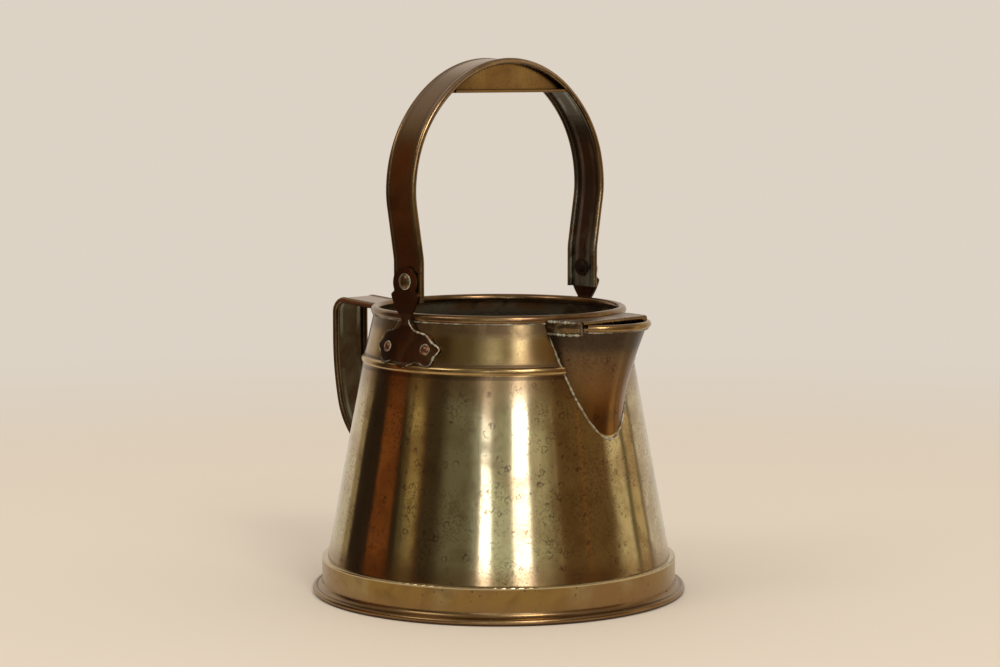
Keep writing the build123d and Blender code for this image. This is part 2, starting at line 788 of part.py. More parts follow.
# Bail's route along its outer face: leg, bend, leaning run, shoulder, crown, and down again
crown_share = sin(radians(bail_crown_angle))
bail_shoulder_radius = (bail_half_width - bail_crown_radius * crown_share) / (1 - crown_share)
bail_bends = bail_bend_radius + bail_lean_radius
bail_run = (bail_swell - bail_bends * (1 - cos(radians(bail_lean)))) / sin(radians(bail_lean))
shoulder_drop = (bail_crown_radius - bail_shoulder_radius) * cos(radians(bail_crown_angle))
bail_shoulder_height = bail_crown_height + shoulder_drop
bail_bend_height = (
    bail_shoulder_height - bail_bends * sin(radians(bail_lean)) - bail_run * cos(radians(bail_lean))
)
with BuildLine(Plane.YZ) as bail_route:
    leg = Line((-bail_leg, bail_end_height), (-bail_leg, bail_bend_height))
    bend = turn_on(leg, bail_bend_radius, bail_lean)
    rise = run_on(bend, bail_run)
    ease = turn_on(rise, bail_lean_radius, -bail_lean)
    shoulder = turn_on(ease, bail_shoulder_radius, bail_crown_angle - 90)
    crown = turn_on(shoulder, bail_crown_radius, -2 * bail_crown_angle)
    far_shoulder = turn_on(crown, bail_shoulder_radius, bail_crown_angle - 90)
    far_ease = turn_on(far_shoulder, bail_lean_radius, -bail_lean)
    far_rise = run_on(far_ease, bail_run)
    far_bend = turn_on(far_rise, bail_bend_radius, bail_lean)
    far_leg = run_on(far_bend, bail_bend_height - bail_end_height)
bail_start = Plane(
    origin=bail_route.line @ 0, x_dir=(-1, 0, 0), z_dir=bail_route.line % 0
)

with BuildPart() as bail_strap:
    with BuildSketch(bail_start):
        strap_section(
            bail_width, bail_sheet, bail_roll_radius, bail_roll_raise, bail_wire_radius + wire_gap
        )
    sweep(path=bail_route.line)
    with BuildSketch(Plane.XZ):
        with Locations((0, pivot_height)):
            Circle(pivot_shank_radius + pivot_gap)
    extrude(amount=3 * cut_margin, both=True, mode=Mode.SUBTRACT)


# A wire inside one of the bail's rolled edges
def make_bail_wire(side):
    with BuildSketch(bail_start) as end:
        strap_wire(bail_width, bail_roll_radius, bail_roll_raise, bail_wire_radius, side)
    sweep(end.sketch, path=bail_route.line)


with BuildPart() as bail_wire_front:
    make_bail_wire(-1)

with BuildPart() as bail_wire_back:
    make_bail_wire(1)

# Grip: a floor and two webs that close the space under the crown
grip_floor_top = grip_floor_height + grip_floor_sheet
sheet_reach = bail_crown_radius - bail_sheet - solder_gap
roll_reach = bail_crown_radius + bail_roll_raise - 2 * bail_roll_radius - solder_gap
tongue_half = bail_width / 2 - 2 * bail_roll_radius - solder_gap
edge_top = grip_floor_height + 2 * grip_edge_radius
edge_half = sqrt(roll_reach**2 - (edge_top - bail_crown_height) ** 2)


# A slice of the space under the crown between two heights, out to a distance from the crown's middle
def crown_slice(low, high, reach):
    with Locations((0, bail_crown_height)):
        Circle(reach)
    with Locations((0, (low + high) / 2)):
        Rectangle(2 * reach, high - low, mode=Mode.INTERSECT)


with BuildPart() as grip_floor:
    with BuildSketch(Plane.YZ):
        crown_slice(grip_floor_height, grip_floor_top, roll_reach)
    extrude(amount=grip_floor_width / 2, both=True)
    with BuildSketch(Plane.YZ):
        crown_slice(grip_floor_height, grip_floor_top, sheet_reach)
    extrude(amount=tongue_half, both=True)
    with BuildSketch(Plane.XZ):
        with Locations(
            (-grip_floor_width / 2, grip_floor_height + grip_edge_radius),
            (grip_floor_width / 2, grip_floor_height + grip_edge_radius),
        ):
            Circle(grip_edge_radius)
    extrude(amount=edge_half, both=True)

with BuildPart() as grip_web_front:
    with BuildSketch(Plane.YZ.offset(grip_web_spacing / 2)):
        crown_slice(grip_floor_top, bail_crown_height + bail_crown_radius, sheet_reach)
    extrude(amount=grip_web_sheet)

with BuildPart() as grip_web_back:
    with BuildSketch(Plane.YZ.offset(-grip_web_spacing / 2)):
        crown_slice(grip_floor_top, bail_crown_height + bail_crown_radius, sheet_reach)
    extrude(amount=-grip_web_sheet)

# Back handle: a strap from the collar to the body, with a pad at each end
handle_start = Plane(
    origin=handle_route.line @ 0, x_dir=(0, -1, 0), z_dir=handle_route.line % 0
)


# A pad of the handle on its root or its foot, sunk into the can's skin, which is then cut away
def handle_pad(outer, low, length):
    high = low + length
    half_turn = degrees(asin(handle_pad_width / 2 / outer((low + high) / 2)))
    with BuildSketch(upright_plane(back_face - half_turn)) as pad:
        with BuildLine():
            band_outline(outer, low, high, -handle_sheet - solder_gap, handle_sheet + sheet)
        make_face()
    revolve(pad.sketch, axis=Axis.Z, revolution_arc=2 * half_turn)


with BuildPart() as back_handle:
    with BuildSketch(handle_start):
        strap_section(
            handle_width,
            handle_sheet,
            handle_roll_radius,
            handle_roll_raise,
            handle_wire_radius + wire_gap,
        )
    sweep(path=handle_route.line)
    handle_pad(collar_radius, handle_top_pad_height, handle_top_pad_length)
    handle_pad(body_radius, handle_low_pad_height, handle_low_pad_length)
    cut_away_can(solder_gap)
    drill_small_holes(handle_top_planes + handle_low_planes)


# A wire inside one of the handle's rolled edges
def make_handle_wire(side):
    with BuildSketch(handle_start) as end:
        strap_wire(handle_width, handle_roll_radius, handle_roll_raise, handle_wire_radius, side)
    sweep(end.sketch, path=handle_route.line)
    cut_away_can(solder_gap + handle_sheet + wire_gap)


with BuildPart() as handle_wire_near:
    make_handle_wire(1)

with BuildPart() as handle_wire_far:
    make_handle_wire(-1)

pieces = {
    "body_cone": body_cone,
    "base_plate": base_plate,
    "foot_skirt": foot_skirt,
    "foot_wire": foot_wire,
    "collar": collar,
    "rim_wire": rim_wire,
    "spout": spout,
    "spout_rim_wire": spout_rim_wire,
    "spout_bridge": spout_bridge,
    "ear_near": ear_near,
    "ear_far": ear_far,
    "ear_rivets": ear_rivets,
    "rivet_roves": rivet_roves,
    "pivot_rivets": pivot_rivets,
    "pivot_washers": pivot_washers,
    "bail_strap": bail_strap,
    "bail_wire_front": bail_wire_front,
    "bail_wire_back": bail_wire_back,
    "grip_floor": grip_floor,
    "grip_web_front": grip_web_front,
    "grip_web_back": grip_web_back,
    "back_handle": back_handle,
    "handle_wire_near": handle_wire_near,
    "handle_wire_far": handle_wire_far,
    "handle_rivets": handle_rivets,
}
for name, piece in pieces.items():
    piece.part.label = name
    export_step(piece.part, f"parts/{name}.step")
    print(name, round(piece.part.volume), len(piece.part.solids()))
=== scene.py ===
import bmesh
import bpy
import numpy as np
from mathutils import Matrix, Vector


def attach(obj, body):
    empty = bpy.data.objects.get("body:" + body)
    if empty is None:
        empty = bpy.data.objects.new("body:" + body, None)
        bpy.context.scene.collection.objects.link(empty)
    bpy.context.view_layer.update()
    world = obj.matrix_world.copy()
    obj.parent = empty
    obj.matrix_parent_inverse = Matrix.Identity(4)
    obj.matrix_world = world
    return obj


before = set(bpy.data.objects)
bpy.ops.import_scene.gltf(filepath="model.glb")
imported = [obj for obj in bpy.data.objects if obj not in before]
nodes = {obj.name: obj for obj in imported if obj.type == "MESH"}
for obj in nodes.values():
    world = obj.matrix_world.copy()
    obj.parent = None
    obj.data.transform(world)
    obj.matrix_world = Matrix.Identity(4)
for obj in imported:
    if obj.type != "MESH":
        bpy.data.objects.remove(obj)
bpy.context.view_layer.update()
print("frame loaded:", len(nodes), "nodes")

# The can's own sizes, in metres: its two cones as (height, radius) pairs, the bead at their joint,
# the middle of the spout's scoop, the bail's pivot, and the radius that lengths round the can use
can = {
    "bodyLow": (0.012, 0.1273),
    "bodyHigh": (0.1667, 0.0985),
    "collarLow": (0.170, 0.0980),
    "collarHigh": (0.2082, 0.0893),
    "beadHeight": 0.1699,
    "beadCentre": 0.0963,
    "beadRadius": 0.0032,
    "scoopCentre": 0.0887,
    "pivotHeight": 0.2305,
    "meanRadius": 0.11,
}


# Radius of a cone at a height: a straight line between the cone's two given (height, radius) pairs
def coneRadius(height, low, high):
    return low[1] + (high[1] - low[1]) * (np.asarray(height) - low[0]) / (high[0] - low[0])


# Radius of the can's skin: the body's cone below the joint and the collar's cone above it
def canRadius(height):
    body = coneRadius(height, can["bodyLow"], can["bodyHigh"])
    collar = coneRadius(height, can["collarLow"], can["collarHigh"])
    return np.where(np.asarray(height) < can["bodyHigh"][0], body, collar)


# Points on the can's skin at the given turns (radians) and heights, lifted off it by a distance
def onSkin(turn, height, lift=0.0):
    radius = canRadius(height) + lift
    return np.stack([radius * np.cos(turn), radius * np.sin(turn), np.asarray(height) + 0 * radius], -1)


# Rows of vectors scaled to length one
def unit(rows):
    return rows / np.linalg.norm(rows, axis=-1, keepdims=True)


# Level directions straight away from the can's axis, for points given in rows
def awayFromAxis(points):
    return unit(points * [1, 1, 0])


# Curve through given points: each stretch is the cubic whose slope at a point is half the step
# between that point's two neighbours
def smoothThrough(points, count):
    inner = np.asarray(points, float)
    padded = np.vstack([2 * inner[0] - inner[1], inner, 2 * inner[-1] - inner[-2]])
    place = np.linspace(0, len(inner) - 1, count)
    stretch = np.minimum(place.astype(int), len(inner) - 2)
    part = (place - stretch)[:, None]
    a, b, c, d = (padded[stretch + step] for step in range(4))
    square = (2 * a - 5 * b + 4 * c - d) * part**2
    cube = (3 * b - a - 3 * c + d) * part**3
    return (2 * b + (c - a) * part + square + cube) / 2


# The same curve with its points at equal distances along it
def evenSteps(path, count):
    along = np.concatenate([[0], np.cumsum(np.linalg.norm(np.diff(path, axis=0), axis=1))])
    wanted = np.linspace(0, along[-1], count)
    return np.stack([np.interp(wanted, along, path[:, axis]) for axis in range(3)], -1)


# Smooth random row: seeded noise, averaged over a sliding window, scaled to swing between -1 and 1
def lumpyRow(count, window, seed, closed=False):
    raw = np.random.default_rng(seed).normal(size=count)
    kernel = np.hanning(window + 2)[1:-1]
    padded = np.pad(raw, window, mode="wrap" if closed else "edge")
    row = np.convolve(padded, kernel / kernel.sum(), mode="same")[window:-window]
    return row / np.abs(row).max()


weldDistance = 1e-6    # points closer than this, in metres, are one


# Mesh object from a grid of points (rows, columns, xyz): each cell becomes a four-sided face,
# and points that fall together, such as poles, are merged
def gridPiece(name, points, material, body, closedRows=False):
    rows, columns = points.shape[:2]
    down = np.arange(rows if closedRows else rows - 1)[:, None]
    across = np.arange(columns)[None, :]
    here, below = down * columns, (down + 1) % rows * columns
    nextAcross = (across + 1) % columns
    corners = [here + across, below + across, below + nextAcross, here + nextAcross]
    faces = np.stack(corners, -1).reshape(-1, 4)
    mesh = bpy.data.meshes.new(name)
    mesh.from_pydata(points.reshape(-1, 3).tolist(), [], faces.tolist())
    shape = bmesh.new()
    shape.from_mesh(mesh)
    bmesh.ops.remove_doubles(shape, verts=shape.verts, dist=weldDistance)
    bmesh.ops.recalc_face_normals(shape, faces=shape.faces)
    shape.to_mesh(mesh)
    shape.free()
    mesh.shade_smooth()
    mesh.materials.append(material)
    piece = bpy.data.objects.new(name, mesh)
    bpy.context.scene.collection.objects.link(piece)
    if body:
        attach(piece, body)
    return piece


# A bead along a path: an oval section, wide across the path and low along the outward direction. Its
# size swings with a smooth random row and closes to a point at both ends of an open path, and its
# middle wanders aside with a smoother row
def beadAlong(name, path, outward, look, material, seed, closed=False):
    count = len(path)
    if closed:
        tangent = unit(np.roll(path, -1, 0) - np.roll(path, 1, 0))
    else:
        tangent = unit(np.gradient(path, axis=0))
    up = unit(outward - tangent * (outward * tangent).sum(-1, keepdims=True))
    side = np.cross(tangent, up)
    size = look["swell"] * (1 + look["lumps"] * lumpyRow(count, look["lumpLength"], seed, closed))
    if not closed:
        place = np.linspace(0, 1, count)
        size = size * np.clip(np.minimum(place, 1 - place) * look["taper"], 0, 1) ** 0.5
    turn = np.linspace(0, 2 * np.pi, look["sides"], endpoint=False)
    wander = look["wander"] * lumpyRow(count, look["lumpLength"] * 2 + 1, seed + 1, closed)
    grain = 1 + look["grain"] * np.random.default_rng(seed + 2).uniform(-1, 1, (count, look["sides"]))
    across = (np.cos(turn)[None, :] * grain * size[:, None]) * look["width"] / 2 + wander[:, None]
    above = np.sin(turn)[None, :] * grain * size[:, None] * look["height"]
    points = path[:, None, :] + side[:, None, :] * across[..., None] + up[:, None, :] * above[..., None]
    return gridPiece(name, points, material, "can", closedRows=closed)


# Fills a node's input: with a link where the term is a socket, else with a plain value
def put(tree, socket, term):
    if isinstance(term, bpy.types.NodeSocket):
        tree.links.new(term, socket)
    else:
        socket.default_value = term


# Adds a shader node of a kind, with its settings and with its inputs by name or by place
def addNode(tree, kind, inputs=None, **settings):
    node = tree.nodes.new("ShaderNode" + kind)
    for key, value in settings.items():
        setattr(node, key, value)
    for key, term in (inputs or {}).items():
        put(tree, node.inputs[key], term)
    return node


# Arithmetic on sockets or plain numbers, as one Math node
def calc(tree, operation, *terms):
    return addNode(tree, "Math", dict(enumerate(terms)), operation=operation).outputs[0]


# Arithmetic on vectors; a product of two by their directions and a length come out as one number
def vectorCalc(tree, operation, *terms):
    node = addNode(tree, "VectorMath", dict(enumerate(terms)), operation=operation)
    return node.outputs["Value" if operation in ("DOT_PRODUCT", "LENGTH") else "Vector"]


# What is left of a mask: one less its value
def restOf(tree, mask):
    return calc(tree, "SUBTRACT", 1.0, mask)


# Smooth step from 0 to 1 between two values of a socket
def rise(tree, value, low, high):
    inputs = {"Value": value, "From Min": low, "From Max": high}
    return addNode(tree, "MapRange", inputs, interpolation_type="SMOOTHSTEP").outputs["Result"]


# Thin line: 1 where a value is one level, down to 0 as the distance to it goes from near to far
def lineAt(tree, value, level, near, far):
    away = calc(tree, "ABSOLUTE", calc(tree, "SUBTRACT", value, level))
    return restOf(tree, rise(tree, away, near, far))


# Fractal noise of a vector, as a value and as a colour
def noise(tree, vector, scale, detail=2.0, twist=0.0):
    inputs = {"Vector": vector, "Scale": scale, "Detail": detail, "Distortion": twist}
    return addNode(tree, "TexNoise", inputs).outputs


# One colour or one number going over into another where the mask is 1
def blend(tree, mask, before, after, kind="RGBA"):
    first, result = {"RGBA": (6, 2), "FLOAT": (2, 0)}[kind]
    inputs = {0: mask, first: before, first + 1: after}
    return addNode(tree, "Mix", inputs, data_type=kind).outputs[result]


# Places a node group with its inputs and returns its outputs
def useGroup(tree, group, inputs):
    return addNode(tree, "Group", inputs, node_tree=group).outputs


# Node group from its inputs, each a number or a vector by name, and the function that fills it and
# returns its outputs by name
def newGroup(name, inputs, fill):
    group = bpy.data.node_groups.new(name, "ShaderNodeTree")
    for label, value in inputs.items():
        kind = "NodeSocketVector" if isinstance(value, tuple) else "NodeSocketFloat"
        group.interface.new_socket(label, in_out="INPUT", socket_type=kind).default_value = value
    results = fill(group, group.nodes.new("NodeGroupInput").outputs)
    for label, socket in results.items():
        kind = "NodeSocketVector" if socket.type == "VECTOR" else "NodeSocketFloat"
        group.interface.new_socket(label, in_out="OUTPUT", socket_type=kind)
    end = group.nodes.new("NodeGroupOutput").inputs
    for label, socket in results.items():
        group.links.new(socket, end[label])
    return group


# Clouds: fractal noise of the shifted and stretched vector, as a mask that rises between two levels
def fillClouds(tree, start):
    inputs = {"Vector": start["Vector"], "Location": start["Shift"], "Scale": start["Stretch"]}
    spot = addNode(tree, "Mapping", inputs).outputs[0]
    value = noise(tree, spot, start["Scale"], start["Detail"], start["Twist"])["Fac"]
    return {"Mask": rise(tree, value, start["Low"], start["High"])}


# Squiggle stain: the lines' own noise, and the broader one that lets them show in patches
squiggleStain = {"twist": 1.2, "level": 0.5, "patchScale": 0.22, "patchDetail": 3.0, "patchSoft": 0.07}


# Squiggles: thin lines where noise passes through one level, kept only where a cloud lets them show
def fillSquiggles(tree, start):
    fine = noise(tree, start["Vector"], start["Scale"], twist=squiggleStain["twist"])["Fac"]
    line = lineAt(tree, fine, squiggleStain["level"], 0.0, start["Width"])
    patchScale = calc(tree, "MULTIPLY", start["Scale"], squiggleStain["patchScale"])
    broad = noise(tree, start["Vector"], patchScale, squiggleStain["patchDetail"])["Fac"]
    patch = rise(tree, broad, start["Share"], calc(tree, "ADD", start["Share"], squiggleStain["patchSoft"]))
    return {"Mask": calc(tree, "MULTIPLY", line, patch)}


speckCore = 0.02    # in shares of a cell's size


# Random cells: each point's distance to its cell's centre, and whether the cell's own random value
# lies under the share of cells that show
def cellsOf(tree, vector, scale, share):
    cells = addNode(tree, "TexVoronoi", {"Vector": vector, "Scale": scale}).outputs
    chance = addNode(tree, "SeparateColor", {"Color": cells["Color"]}).outputs[0]
    return cells["Distance"], calc(tree, "LESS_THAN", chance, share)


# Specks: round spots at the centres of the cells that show, each full up to its core
def fillSpecks(tree, start):
    distance, shown = cellsOf(tree, start["Vector"], start["Scale"], start["Share"])
    spot = restOf(tree, rise(tree, distance, speckCore, start["Size"]))
    return {"Mask": calc(tree, "MULTIPLY", spot, shown)}


# Ring stain, in shares of its cell's size, apart from the bend, which is in metres
ringStain = {
    "bendScale": 2.6, "bendBy": (0.0045, 0.0045, 0.0045), "radius": 0.30, "thin": 0.02, "thick": 0.07,
    "gapScale": 1.3, "gapLow": 0.42, "gapHigh": 0.52,
}


# Rings: a thin line at one distance from cell centres, bent by noise and broken by clouds
def fillRings(tree, start):
    bendScale = calc(tree, "MULTIPLY", start["Scale"], ringStain["bendScale"])
    gapScale = calc(tree, "MULTIPLY", start["Scale"], ringStain["gapScale"])
    bend = noise(tree, start["Vector"], bendScale)["Color"]
    moved = vectorCalc(tree, "MULTIPLY_ADD", bend, ringStain["bendBy"], start["Vector"])
    distance, shown = cellsOf(tree, moved, start["Scale"], start["Share"])
    line = lineAt(tree, distance, ringStain["radius"], ringStain["thin"], ringStain["thick"])
    gaps = noise(tree, start["Vector"], gapScale)["Fac"]
    broken = rise(tree, gaps, ringStain["gapLow"], ringStain["gapHigh"])
    return {"Mask": calc(tree, "MULTIPLY", calc(tree, "MULTIPLY", line, shown), broken)}


# Places on the can, from object coordinates: length round the skin, height and radius as one vector,
# radius and height by themselves, and distances along and across the can
def fillPlaces(tree, start):
    x, y, z = addNode(tree, "SeparateXYZ", {"Vector": start["Vector"]}).outputs
    radius = calc(tree, "SQRT", calc(tree, "MULTIPLY_ADD", x, x, calc(tree, "MULTIPLY", y, y)))
    girth = calc(tree, "MULTIPLY", calc(tree, "ARCTAN2", y, x), can["meanRadius"])
    wrapped = addNode(tree, "CombineXYZ", {"X": girth, "Y": z, "Z": radius}).outputs[0]
    asideX, asideY = (calc(tree, "ABSOLUTE", value) for value in (x, y))
    return {"Wrapped": wrapped, "Radius": radius, "Height": z, "X": x, "AsideX": asideX, "AsideY": asideY}


# Band: 1 where a value lies between two limits, falling to 0 over a soft width outside them
def fillBand(tree, start):
    below = calc(tree, "SUBTRACT", start["Low"], start["Soft"])
    above = calc(tree, "ADD", start["High"], start["Soft"])
    into = rise(tree, start["Value"], below, start["Low"])
    beyond = rise(tree, start["Value"], start["High"], above)
    return {"Mask": calc(tree, "MULTIPLY", into, restOf(tree, beyond))}


inwardFull = 0.5    # cosine at which a side counts as inward in full


# Inward side: how far the surface's normal points back at a centre, measured only along chosen axes
def fillInward(tree, start):
    away = vectorCalc(tree, "SUBTRACT", start["Vector"], start["Centre"])
    straight = vectorCalc(tree, "NORMALIZE", vectorCalc(tree, "MULTIPLY", away, start["Axes"]))
    dot = vectorCalc(tree, "DOT_PRODUCT", straight, start["Normal"])
    return {"Mask": rise(tree, calc(tree, "MULTIPLY", dot, -1.0), 0.0, inwardFull)}


# Scale, detail and depth of each kind of relief
reliefParts = {"Waves": (22.0, 1.5, 8.0), "Scratches": (900.0, 2.0, 0.05), "Grain": (420.0, 4.0, 0.08)}


# Sheet relief: broad waves left by the hammer, fine scratches along the wiping direction, and grain,
# each a noise times its own depth, added up
def fillRelief(tree, start):
    inputs = {"Vector": start["Wiped"], "Scale": start["Stretch"]}
    stretched = addNode(tree, "Mapping", inputs).outputs[0]
    total = 0.0
    for label, (scale, detail, depth) in reliefParts.items():
        vector = stretched if label == "Scratches" else start["Vector"]
        strength = calc(tree, "MULTIPLY", start[label], depth)
        total = calc(tree, "MULTIPLY_ADD", noise(tree, vector, scale, detail)["Fac"], strength, total)
    return {"Height": total}


# Inputs of each group, in their order, with the values that hold where none are given
origin = (0.0, 0.0, 0.0)
full = (1.0, 1.0, 1.0)
cloudInputs = {
    "Vector": origin, "Scale": 40.0, "Low": 0.45, "High": 0.6, "Twist": 0.5, "Detail": 5.0, "Shift": origin,
    "Stretch": full,
}
squiggleInputs = {"Vector": origin, "Scale": 150.0, "Width": 0.02, "Share": 0.5}
speckInputs = {"Vector": origin, "Scale": 300.0, "Size": 0.3, "Share": 0.3}
ringInputs = {"Vector": origin, "Scale": 100.0, "Share": 0.4}
bandInputs = {"Value": 0.0, "Low": 0.0, "High": 1.0, "Soft": 0.001}
inwardInputs = {"Vector": origin, "Normal": origin, "Centre": origin, "Axes": (1.0, 1.0, 0.0)}
reliefInputs = {
    "Vector": origin, "Wiped": origin, "Stretch": full, "Waves": 1.0, "Scratches": 1.0, "Grain": 1.0,
}
cloudGroup = newGroup("cloudMask", cloudInputs, fillClouds)
squiggleGroup = newGroup("squiggleStains", squiggleInputs, fillSquiggles)
ringGroup = newGroup("ringStains", ringInputs, fillRings)
speckGroup = newGroup("speckMask", speckInputs, fillSpecks)
placeGroup = newGroup("placesOnTheCan", {"Vector": origin}, fillPlaces)
bandGroup = newGroup("softBand", bandInputs, fillBand)
inwardGroup = newGroup("inwardSide", inwardInputs, fillInward)
reliefGroup = newGroup("sheetRelief", reliefInputs, fillRelief)
print("shader groups made")

# Masks by kind: the group, and the places on the can that its first inputs take. After them come the
# numbers of its other inputs, in the order in which they are listed above
maskKinds = {
    "clouds": (cloudGroup, ["Spot"]),
    "wrappedClouds": (cloudGroup, ["Wrapped"]),
    "squiggles": (squiggleGroup, ["Spot"]),
    "rings": (ringGroup, ["Spot"]),
    "specks": (speckGroup, ["Spot"]),
    "band": (bandGroup, []),
    "inward": (inwardGroup, ["Spot", "Normal"]),
}

# Ways of wiping a sheet: the place that the scratches follow, and how it is drawn out along them
wipes = {
    "round": ("Wrapped", (0.02, 1, 1)),
    "lengthwise": ("Spot", (0.05, 1, 1)),
    "sideways": ("Spot", (1, 0.03, 1)),
    "upright": ("Spot", (1, 1, 0.03)),
    "none": ("Spot", full),
}


# Mask from its description: a kind and its numbers. "rise" and "band" name a place first, "rest" is
# one less the mask that it holds
def makeMask(tree, places, kind, *numbers):
    if kind == "rest":
        return restOf(tree, makeMask(tree, places, *numbers[0]))
    if kind == "rise":
        return rise(tree, places[numbers[0]], *numbers[1:])
    group, sources = maskKinds[kind]
    terms = [places[term] if isinstance(term, str) else term for term in (*sources, *numbers)]
    return useGroup(tree, group, dict(enumerate(terms)))[0]


# Metal from its look. The base is a tone, a roughness and a metallic share. Each layer is a tone, how
# much of it shows, its roughness, alone or with a metallic share, and the masks whose product says
# where. The relief is a depth in metres, a wipe, and the strength of waves, scratches and grain
def makeMetal(name, look):
    material = bpy.data.materials.new(name)
    material.use_nodes = True
    tree = material.node_tree
    texture = addNode(tree, "TexCoord").outputs
    places = {"Spot": texture["Object"], "Normal": texture["Normal"]}
    places.update(useGroup(tree, placeGroup, {"Vector": texture["Object"]}).items())
    tone, roughness, metallic = look["base"]
    color = (*tones[tone], 1)
    made = {}
    for tone, amount, surface, *masks in look["layers"]:
        mask = amount
        for description in masks:
            if description not in made:
                made[description] = makeMask(tree, places, *description)
            mask = calc(tree, "MULTIPLY", made[description], mask)
        newRoughness, newMetallic = surface if isinstance(surface, tuple) else (surface, None)
        color = blend(tree, mask, color, (*tones[tone], 1))
        roughness = blend(tree, mask, roughness, newRoughness, "FLOAT")
        if newMetallic is not None:
            metallic = blend(tree, mask, metallic, newMetallic, "FLOAT")
    depth, wipe, waves, scratches, grain = look["relief"]
    wiped, stretch = wipes[wipe]
    inputs = {"Vector": places["Spot"], "Wiped": places[wiped], "Stretch": stretch}
    inputs.update({"Waves": waves, "Scratches": scratches, "Grain": grain})
    height = useGroup(tree, reliefGroup, inputs)["Height"]
    bump = addNode(tree, "Bump", {"Strength": 1.0, "Distance": depth, "Height": height})
    shader = tree.nodes["Principled BSDF"]
    results = {"Base Color": color, "Roughness": roughness, "Metallic": metallic, "Normal": bump.outputs[0]}
    for label, term in results.items():
        put(tree, shader.inputs[label], term)
    return material


# Colours of the can's metals and of what has grown on them, as the shader takes them
tones = {
    "cleanBrass": (0.60, 0.50, 0.30),
    "warmBrass": (0.54, 0.38, 0.17),
    "oliveBrass": (0.40, 0.34, 0.18),
    "brownBrass": (0.27, 0.165, 0.075),
    "darkBrown": (0.080, 0.044, 0.024),
    "redBrown": (0.125, 0.055, 0.030),
    "nearBlack": (0.024, 0.020, 0.016),
    "greyGreen": (0.15, 0.15, 0.11),
    "orange": (0.33, 0.15, 0.05),
    "verdigris": (0.30, 0.34, 0.26),
    "paleCrust": (0.47, 0.43, 0.33),
    # pale tone of the straps' painted sheen on top of the bend
    "paintedTopSheen": (0.46, 0.33, 0.24),
    "strapBrown": (0.175, 0.115, 0.056),
    "strapGrey": (0.070, 0.066, 0.054),
    "paleGrey": (0.30, 0.31, 0.28),
    "handleDark": (0.045, 0.024, 0.012),
    "gripBrown": (0.27, 0.155, 0.055),
    "copper": (0.27, 0.115, 0.062),
    "paleCopper": (0.50, 0.33, 0.25),
    "iron": (0.20, 0.17, 0.15),
    "collarBrown": (0.34, 0.215, 0.080),
    "insideBrown": (0.34, 0.28, 0.19),
    "lowOrange": (0.27, 0.125, 0.032),
    "footGold": (0.29, 0.185, 0.055),
    "spoutBrown": (0.175, 0.118, 0.066),
}

# Body: polished brass with olive and brown clouds, upright streaks, squiggles, rings and specks,
# browner at its foot, with painted shade under the bead, dull inside
inside = ("inward",)
bodyLook = {
    "base": ("cleanBrass", 0.095, 1.0),
    "layers": [
        ("oliveBrass", 0.6, 0.12, ("clouds", 9, 0.40, 0.62, 0.8, 8.0)),
        ("brownBrass", 0.55, 0.16, ("clouds", 30, 0.46, 0.70, 0.8, 9.0)),
        ("brownBrass", 0.4, 0.18, ("wrappedClouds", 34, 0.48, 0.74, 0.2, 5.0, origin, (1, 0.10, 1))),
        ("brownBrass", 0.45, 0.20, ("clouds", 520, 0.46, 0.60, 0.6, 3.0),
         ("clouds", 24, 0.40, 0.62, 0.5, 5.0, (8, 1, 4))),
        ("brownBrass", 0.75, 0.19, ("band", "Height", 0.0, 0.028, 0.014)),
        # painted shade: a browner, rougher band on the body just under the bead, where the bead shades it
        ("brownBrass", 0.85, 0.22, ("band", "Height", 0.162, 0.170, 0.022)),
        ("darkBrown", 0.6, 0.24, ("band", "Height", 0.1665, 0.1735, 0.0006), ("clouds", 26, 0.34, 0.58)),
        ("darkBrown", 0.6, 0.26, ("band", "Height", 0.1648, 0.1664, 0.0012)),
        ("darkBrown", 0.6, 0.17, ("squiggles", 230, 0.030, 0.47)),
        ("darkBrown", 0.6, 0.17, ("rings", 135, 0.42)),
        ("darkBrown", 0.8, 0.24, ("specks", 420, 0.30, 0.20)),
        ("nearBlack", 0.8, (0.35, 0.8), ("specks", 60, 0.045, 0.10)),
        ("greyGreen", 1.0, (0.42, 0.7), inside),
        ("darkBrown", 0.7, (0.5, 0.7), inside, ("clouds", 25, 0.45, 0.65)),
    ],
    "relief": (0.000017, "round", 3.0, 0.4, 0.5),
}
bodyMaterial = makeMetal("bodyBrass", bodyLook)
